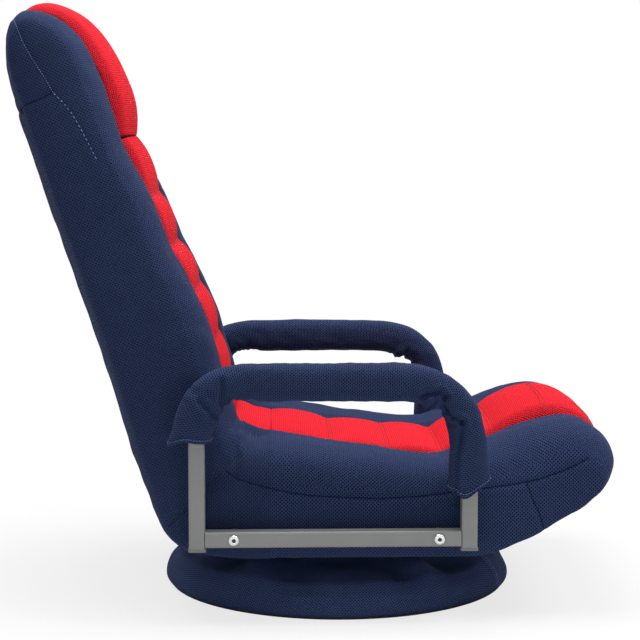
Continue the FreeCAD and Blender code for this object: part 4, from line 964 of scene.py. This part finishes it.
def meshCloth(name, look):
    # mesh cloth: staggered round holes between knitted strands
    n = Paint(name)
    uv = n.made("ShaderNodeUVMap", {"uv_map": "UVMap"})
    drift = n.put("ShaderNodeTexNoise", Vector=uv, Scale=14.0, Detail=2.0).outputs["Color"]
    drift = n.made("ShaderNodeVectorMath", {"operation": "SCALE"}, i0=drift, Scale=look["drift"])
    uv = n.made("ShaderNodeVectorMath", {"operation": "ADD"}, i0=uv, i1=drift)
    u, v = (n.times(axis, 2 * math.pi / pitch) for axis, pitch in zip(n.apart(uv), look["pitch"]))
    hole = n.ramp(n.times(n.math("COSINE", u), n.math("COSINE", v)), -0.02, 0.62)
    ribs = n.math("MULTIPLY_ADD", n.math("COSINE", n.times(u, 2.0)), 0.5, 0.5)
    yarn = n.noise(uv, 1400.0, 2.0)
    worn = n.math("MULTIPLY_ADD", n.noise(n.place, 9.0), 0.7, -0.1)
    strand = n.mix(worn, look["strand"], look["strandWorn"])
    strand = n.mix(n.times(yarn, 0.35), strand, look["yarn"])
    # the holes look deeper on the sides, seen at a slant
    # painted shade: by distance from the chair's middle, the side walls get holes shaded darker or lighter
    # than the faces, and the side-shade share darkens their strands, as light falls there
    side = n.ramp(n.math("ABSOLUTE", n.apart(n.place)[0]), look["faceHalf"], look["sideHalf"])
    deep = n.math("MULTIPLY_ADD", side, look["holeShade"] - look["faceShade"], look["faceShade"])
    shade = n.math("MAXIMUM", n.times(ribs, look["ribShade"]), n.times(side, look["sidePaintedShade"]))
    strand = n.mix(shade, strand, look["hole"])
    height = n.math("SUBTRACT", n.times(yarn, 0.25), hole)
    height = n.math("MULTIPLY_ADD", ribs, -0.25, height)
    soft = n.bump(n.noise(n.place, 55.0), 0.0009, 0.35)
    return n.done(Base_Color=n.mix(n.times(hole, deep), strand, look["hole"]),
                  Roughness=n.math("MULTIPLY_ADD", hole, 0.15, 0.8),
                  Normal=n.bump(height, look["relief"], 0.75, Normal=soft), Sheen_Weight=look["sheen"],
                  Sheen_Roughness=0.45, Sheen_Tint=look["sheenTint"], Specular_IOR_Level=look["specular"])


navyLook = {
    "strand": (38, 51, 84), "strandWorn": (44, 58, 96), "yarn": (74, 92, 142), "hole": (7, 10, 20),
    "pitch": (0.0047, 0.0045), "holeShade": 0.92, "ribShade": 0.25, "relief": 0.0011, "drift": 0.0012,
    "sheen": 0.075, "sheenTint": (150, 170, 235), "specular": 0.08,
    "faceShade": 0.92, "faceHalf": 0.1, "sideHalf": 0.2, "sidePaintedShade": 0.0}
cloths = {
    "navyMesh": navyLook,
    # painted shade: a darker copy of the navy mesh for the back and the crease, with its side walls' holes
    # shaded lighter than its faces'
    "backMesh": dict(navyLook, strand=(34, 45, 75), strandWorn=(39, 52, 85), holeShade=0.68, faceShade=0.85,
                     ribShade=0.34),
    "sleeveMesh": dict(navyLook, pitch=(0.0044, 0.0042), strand=(39, 52, 86), strandWorn=(46, 61, 101),
                       yarn=(86, 104, 156), ribShade=0.62),
    # painted light: a lighter copy of the navy mesh, brightening the base cover where the seat shades it
    "baseMesh": dict(navyLook, pitch=(0.0042, 0.0042), strand=(56, 72, 115), strandWorn=(65, 82, 130),
                     yarn=(98, 117, 168), hole=(18, 24, 43)),
    "redMesh": {
        "strand": (238, 28, 44), "strandWorn": (244, 38, 54), "yarn": (250, 72, 84), "hole": (78, 2, 8),
        "pitch": (0.0052, 0.0033), "holeShade": 0.95, "ribShade": 0.26, "relief": 0.0010, "drift": 0.0010,
        "sheen": 0.02, "sheenTint": (255, 120, 120), "specular": 0.06,
        # these four values paint shade on the pads' side walls: darker holes and strands there than on their
        # faces
        "faceShade": 0.42, "faceHalf": 0.086, "sideHalf": 0.104, "sidePaintedShade": 0.34},
}


def painted(name, look):
    # painted or bare metal, plastic and thread, with a faint uneven skin
    n = Paint(name)
    grain = n.noise(n.place, look["grain"], 2.0)
    return n.done(Base_Color=n.mix(n.noise(n.place, 18.0), look["colour"], look["shade"]),
                  Roughness=n.math("MULTIPLY_ADD", grain, 0.12, look["roughness"] - 0.06),
                  Normal=n.bump(grain, look["relief"], 0.5), Metallic=look["metallic"],
                  Coat_Weight=look["coat"], Specular_IOR_Level=look["specular"])


steel = {"roughness": 0.5, "metallic": 0.6, "coat": 0.0, "grain": 900.0, "relief": 0.00008, "specular": 0.5}
plastic = dict(steel, metallic=0.0, relief=0.0002)
thread = dict(plastic, grain=3000.0, roughness=0.7)
paints = {
    "greyPaint": dict(steel, colour=(130, 131, 130), shade=(119, 120, 120), roughness=0.42, metallic=0.15,
                      coat=0.1),
    "chrome": dict(steel, colour=(228, 228, 226), shade=(205, 206, 208), roughness=0.2, metallic=1.0,
                   relief=0.00002),
    "darkSteel": dict(steel, colour=(52, 53, 56), shade=(38, 39, 42)),
    "zinc": dict(steel, colour=(172, 174, 178), shade=(140, 143, 150), roughness=0.35, metallic=0.9),
    "greyPlastic": dict(plastic, colour=(118, 119, 119), shade=(106, 107, 107)),
    "blackPlastic": dict(plastic, colour=(28, 28, 30), shade=(20, 20, 22), roughness=0.55),
    "navyThread": dict(thread, colour=(122, 140, 190), shade=(96, 114, 168), roughness=0.6),
    "hemThread": dict(thread, colour=(100, 118, 168), shade=(78, 94, 142)),
    # painted shade: thread darker than the cloth, laid nearly unbroken in the seams' furrows
    "darkThread": dict(thread, colour=(20, 29, 60), shade=(15, 22, 48), roughness=0.9, specular=0.05),
    "redThread": dict(thread, colour=(150, 12, 24), shade=(118, 6, 16)),
}


def plainCloth(name, colour, shade, pitch):
    n = Paint(name)
    x, y = (n.math("SINE", n.times(axis, 2 * math.pi / pitch)) for axis in n.apart(n.place)[:2])
    weave = n.times(x, y)
    return n.done(Base_Color=n.mix(n.math("MULTIPLY_ADD", weave, 0.5, 0.5), colour, shade), Roughness=0.85,
                  Normal=n.bump(weave, 0.0003, 0.6))


def boltFinish(name):
    n = Paint(name)
    # painted shade: the socket's marked faces are coloured dark grey and made rougher, as shade inside the
    # recess
    dark = n.put("ShaderNodeAttribute", {"attribute_name": "dark"}).outputs["Fac"]
    bright = n.mix(n.noise(n.place, 60.0), (226, 226, 224), (196, 197, 200))
    return n.done(Base_Color=n.mix(dark, bright, (84, 85, 88)), Metallic=0.9,
                  Roughness=n.math("MULTIPLY_ADD", dark, 0.3, 0.26),
                  Normal=n.bump(n.noise(n.place, 1500.0, 2.0), 0.00002, 0.5))


materials = {name: meshCloth(name, look) for name, look in cloths.items()}
materials.update({name: painted(name, look) for name, look in paints.items()})
materials["dustCloth"] = plainCloth("dustCloth", (24, 24, 28), (34, 34, 38), 0.0016)
materials["boltChrome"] = boltFinish("boltChrome")


def dress(piece, material):
    piece.data.materials.clear()
    piece.data.materials.append(material)


# Stitches, set along lines by a node tree

def stitchTree(material):
    t = PointTree("stitchRow", {"Spacing": 0.005, "Length": 0.0016, "Thickness": 0.0004})
    curve = t.made("GeometryNodeMeshToCurve", Mesh=t.given["Geometry"])
    even = t.made("GeometryNodeResampleCurve", {"mode": "LENGTH"}, Curve=curve, Length=t.given["Spacing"])
    strand = t.made("GeometryNodeMeshUVSphere", Segments=6, Rings=4, Radius=1.0)
    thick = t.given["Thickness"]
    size = t.made("ShaderNodeCombineXYZ", i0=t.given["Length"], i1=thick, i2=thick)
    return t.settle(even, strand, "X", t.made("GeometryNodeInputTangent"), size, material)


def stitches(name, lines, material, look):
    # a plain mesh of thread along lines in millimetres
    verts, edges = [], []
    for line in lines:
        edges += [(len(verts) + i, len(verts) + i + 1) for i in range(len(line) - 1)]
        verts += (line * mm).tolist()
    mesh = bpy.data.meshes.new(name)
    mesh.from_pydata(verts, edges, [])
    piece = link(mesh, name)
    values = zip(("Spacing", "Length", "Thickness"), look)
    grown(piece, stitchTree(materials[material]), {label: value * mm for label, value in values})
    return piece


def lifted(key, lift=0.1):
    return [line + normal * lift for line, normal in drawnLines[key]]


# (spacing, half length, half thickness) in millimetres
threadLooks = {"pale": (3.1, 1.25, 0.42), "dashed": (6.0, 2.0, 0.55), "dark": (1.3, 1.1, 0.62),
               "red": (3.6, 1.35, 0.42), "hem": (3.4, 1.3, 0.36)}
threads = []
for name, body, material, look, lines in (
        ("capStitches", "backrest", "navyThread", "pale", lifted("cap", 0.3)),
        ("sideStitches", "backrest", "navyThread", "dashed", lifted("capStitch", 0.3)),
        # the next two rows lay dark thread nearly unbroken in the seams' furrows, as painted shade
        ("capCrease", "backrest", "darkThread", "dark",
         lifted("capAcross", -0.1) + laidOn(backCover, rearLine, -0.1)),
        ("seatSeams", "seat", "darkThread", "dark", lifted("seatSide") + lifted("seatPanel")),
        ("seatPadStitches", "seat", "redThread", "red", laidOn(seatPad, padSeams["seatPad"])),
        ("backPadStitches", "backrest", "redThread", "red", laidOn(backPad, padSeams["backPad"])),
        ("hemStitches", "seat", "hemThread", "hem",
         [line for side in sleeves for line in laidOn(sleeves[side], hemRows[side])]),
        ("baseStitches", "base", "navyThread", "pale", baseSeams)):
    threads.append((stitches(name, lines, material, threadLooks[look]), body, material))
print("stitches laid", sum(len(t[0].data.polygons) for t in threads))


# Bolts of the armrests, set by a node tree

boltShape = {
    "y": (136.0, -116.0), "z": 110.8, "face": 265.0,     # where the heads rest on the armrests' outer faces
    # (radius, height over the face) from the end of the shank to the rim of the socket
    "outline": [(0.02, -54.5), (3.6, -54.5), (4, -54), (4, 0), (6.6, 0), (7.0, 0.4), (7.0, 1.6), (6.7, 2.6),
                (5.9, 3.6), (5.0, 4.1), (3.6, 4.3), (2.9, 4.25)],
    # (share of the hexagon, height, how much painted shade) down the socket
    "socket": [(1.0, 4.15, 0.35), (0.98, 2.45, 1.0), (0.02, 1.95, 1.0)],
    "hexagon": 2.3, "around": 30,
}


def boltModel():
    # one bolt along Z, with a hexagon socket whose faces are marked "dark" for painted shade inside it
    turns = np.arange(boltShape["around"]) / boltShape["around"] * 2 * math.pi
    hexagon = boltShape["hexagon"] / np.cos((turns + math.pi / 6) % (math.pi / 3) - math.pi / 6)
    rings = [(r + 0 * turns, h, 0.0) for r, h in boltShape["outline"]]
    rings += [(hexagon * share, h, dark) for share, h, dark in boltShape["socket"]]
    cos, sin = np.cos(turns), np.sin(turns)
    grid = np.stack([np.column_stack([r * cos, r * sin, h + 0 * turns]) for r, h, _ in rings])
    u, v = np.arange(len(turns) + 1), np.arange(len(rings))[:, None]
    mesh = gridMesh("boltModel", grid, u, v, wrapCols=True)
    storeMark(mesh, "dark", np.repeat([dark for *_, dark in rings], len(turns)))
    edited(mesh, filled)
    return link(mesh, "boltModel")


def boltTree(model, material):
    t = PointTree("boltSet", {"Size": 1.0, "Seed": 4})
    source = t.put("GeometryNodeObjectInfo", Object=model).outputs["Geometry"]
    outward = t.made("GeometryNodeInputNamedAttribute", {"data_type": "FLOAT_VECTOR"}, Name="outward")
    angle = t.put("FunctionNodeRandomValue", {"data_type": "FLOAT"}, Max=6.28, Seed=t.given["Seed"])
    about = t.made("ShaderNodeCombineXYZ", i2=angle.outputs[1])
    return t.settle(t.given["Geometry"], source, "Z", outward, t.given["Size"], material, about)


def boltRow(name, sign, model, material):
    spots = [(sign * boltShape["face"] * mm, y * mm, boltShape["z"] * mm) for y in boltShape["y"]]
    mesh = bpy.data.meshes.new(name)
    mesh.from_pydata(spots, [], [])
    outward = mesh.attributes.new("outward", "FLOAT_VECTOR", "POINT")
    outward.data.foreach_set("vector", [float(sign), 0.0, 0.0] * len(spots))
    piece = link(mesh, name)
    grown(piece, boltTree(model, material), {"Size": 1.0, "Seed": 4 + (sign > 0)})
    return piece


model = boltModel()
bolts = {side: boltRow("boltRow_" + side, sign, model, materials["boltChrome"])
         for side, sign in (("left", 1), ("right", -1))}
bpy.data.objects.remove(model)
print("bolts set", [len(b.data.polygons) for b in bolts.values()])

# what the names of the nodes begin with
nodeLooks = {
    "greyPaint": ("arm_frame",), "greyPlastic": ("arm_caps",), "blackPlastic": ("arm_spacers", "base_sheet"),
    "chrome": ("arm_bolts", "balls"),
    "darkSteel": ("back_frame", "base_legs", "base_ring", "hub_plate", "seat_cross_bars", "seat_frame"),
    "zinc": ("back_wires", "ball_cage", "hinge", "pawl", "rail_inserts", "seat_wires", "swivel"),
}
for nodeName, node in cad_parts.items():
    for material, starts in nodeLooks.items():
        if nodeName.startswith(starts):
            dress(node, materials[material])


# Dust cover under the seat

dust = {"hole": 79.0, "lines": 40, "thick": 0.0009}      # hole: half width in millimetres
low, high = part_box("seat_dust_cover")


def trimmed(bm):
    bmesh.ops.delete(bm, geom=[v for v in bm.verts if not v.link_faces], context="VERTS")


def dustSheet():
    n = dust["lines"]
    x, y = np.meshgrid(*(np.linspace(low[k] / mm, high[k] / mm, n) for k in (0, 1)), indexing="ij")
    sag = waves(np.stack([x, y, 0 * x], -1).reshape(-1, 3), 60, 3).reshape(n, n) ** 2
    z = low.z / mm + 0.2 + 0.5 * sag
    keep = np.maximum(*(np.abs(k[:-1, :-1] + k[1:, 1:]) / 2 for k in (x, y))) > dust["hole"]
    mesh = gridMesh("dustSheet", np.stack([x, y, z], -1), x, y, keep=keep)
    edited(mesh, trimmed)
    piece = link(mesh, "dustSheet")
    modified(piece, "SOLIDIFY", thickness=dust["thick"], offset=0)
    smooth(piece)
    return piece


dustCover = dustSheet()

# Looks and riding: (piece, body, material, fill, what it stands for); the crease's two lie between bodies
for piece, body, material, fill, stands in (
        (seatCover, "seat", "navyMesh", 0.8, ["seat_cushion"]),
        (backCover, "backrest", "backMesh", 0.8, ["back_cushion"]),
        (creaseCover, None, "backMesh", 0.7, ["corner_foam"]),
        (seatPad, "seat", "redMesh", 0.75, ["seat_pad"]),
        (backPad, "backrest", "redMesh", 0.8, ["back_pad"]),
        (headPad, "backrest", "redMesh", 0.85, ["headrest_pad"]),
        (creasePad, None, "redMesh", 0.5, []),
        (sleeves["left"], "seat", "sleeveMesh", 0.6, ["arm_sleeve_left", "arm_foam_left"]),
        (sleeves["right"], "seat", "sleeveMesh", 0.6, ["arm_sleeve_right", "arm_foam_right"]),
        (dustCover, "seat", "dustCloth", None, ["seat_dust_cover"]),
        (baseSkin, "base", "baseMesh", None, ["base_cover", "base_ring_pad"])):
    dress(piece, materials[material])
    if body:
        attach(piece, body)
    else:
        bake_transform(piece)
    if stands:
        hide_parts(*stands)
for side, piece in bolts.items():
    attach(piece, "seat")
    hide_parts("arm_bolts_" + side)
for piece, body, material in threads:
    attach(piece, body)
print("pieces dressed")


# Camera, floor, light and surroundings

def aimed(thing, at, ahead):
    thing.location = at
    thing.rotation_euler = Vector(ahead).to_track_quat("-Z", "Y").to_euler()


view = {"at": (-2.3845, 0.0917, 0.6009), "yaw": 0.0288, "pitch": 0.1032, "lens": 1765.08 / 640 * 36}
camera = bpy.data.cameras.new("camera")
camera.sensor_width = 36
camera.lens = view["lens"]
scene.camera = link(camera, "camera")
yaw, pitch = view["yaw"], view["pitch"]
ahead = (math.cos(yaw) * math.cos(pitch), -math.sin(yaw) * math.cos(pitch), -math.sin(pitch))
aimed(scene.camera, view["at"], ahead)

floorMesh = bpy.data.meshes.new("floor")
floorMesh.from_pydata([(-6, -6, 0), (6, -6, 0), (6, 6, 0), (-6, 6, 0)], [], [(0, 1, 2, 3)])
floor = link(floorMesh, "floor")
n = Paint("paleFloor")
n.shader.inputs["Base Color"].default_value = (0.8, 0.8, 0.8, 1)
n.shader.inputs["Roughness"].default_value = 0.9
seen = n.put("ShaderNodeLightPath").outputs["Is Camera Ray"]
white = n.made("ShaderNodeEmission", Color=(255, 255, 255), Strength=1.0)
away = n.put("ShaderNodeVectorMath", {"operation": "LENGTH"}, i0=n.place).outputs["Value"]
share = n.times(seen, n.ramp(away, 0.30, 0.95, 0.76, 1.0))
mixed = n.made("ShaderNodeMixShader", i0=share, i1=n.shader.outputs[0], i2=white)
n.set(n.tree.nodes["Material Output"], "Surface", mixed)
dress(floor, n.material)

world = bpy.data.worlds.new("surroundings")
scene.world = world
world.use_nodes = True
w = Tree(world.node_tree)
rays = w.put("ShaderNodeLightPath").outputs
seen = w.math("MAXIMUM", rays["Is Camera Ray"], rays["Is Glossy Ray"])
glow = w.made("ShaderNodeMapRange", Value=seen, To_Min=0.27, To_Max=1.0)
background = w.tree.nodes["Background"]
w.set(background, "Color", (255, 255, 255))
w.set(background, "Strength", glow)

lamps = {
    "keyLamp": {"at": (-0.5, -1.5, 2.5), "toward": (0, 0, 0.35), "power": 41, "size": 1.4},
    "fillLamp": {"at": (-2.5, -0.3, 0.3), "toward": (0, 0, 0.12), "power": 5, "size": 2.6, "tall": 0.5},
    "topLamp": {"at": (-0.1, 0.4, 2.6), "toward": (0, 0.1, 0.3), "power": 61, "size": 2.0},
}
for name, look in lamps.items():
    lamp = bpy.data.lights.new(name, "AREA")
    lamp.size, lamp.energy = look["size"], look["power"]
    lamp.shape = "DISK"
    if "tall" in look:
        lamp.shape = "RECTANGLE"
        lamp.size_y = look["tall"]
    aimed(link(lamp, name), look["at"], Vector(look["toward"]) - Vector(look["at"]))

scene.view_settings.view_transform = "Standard"
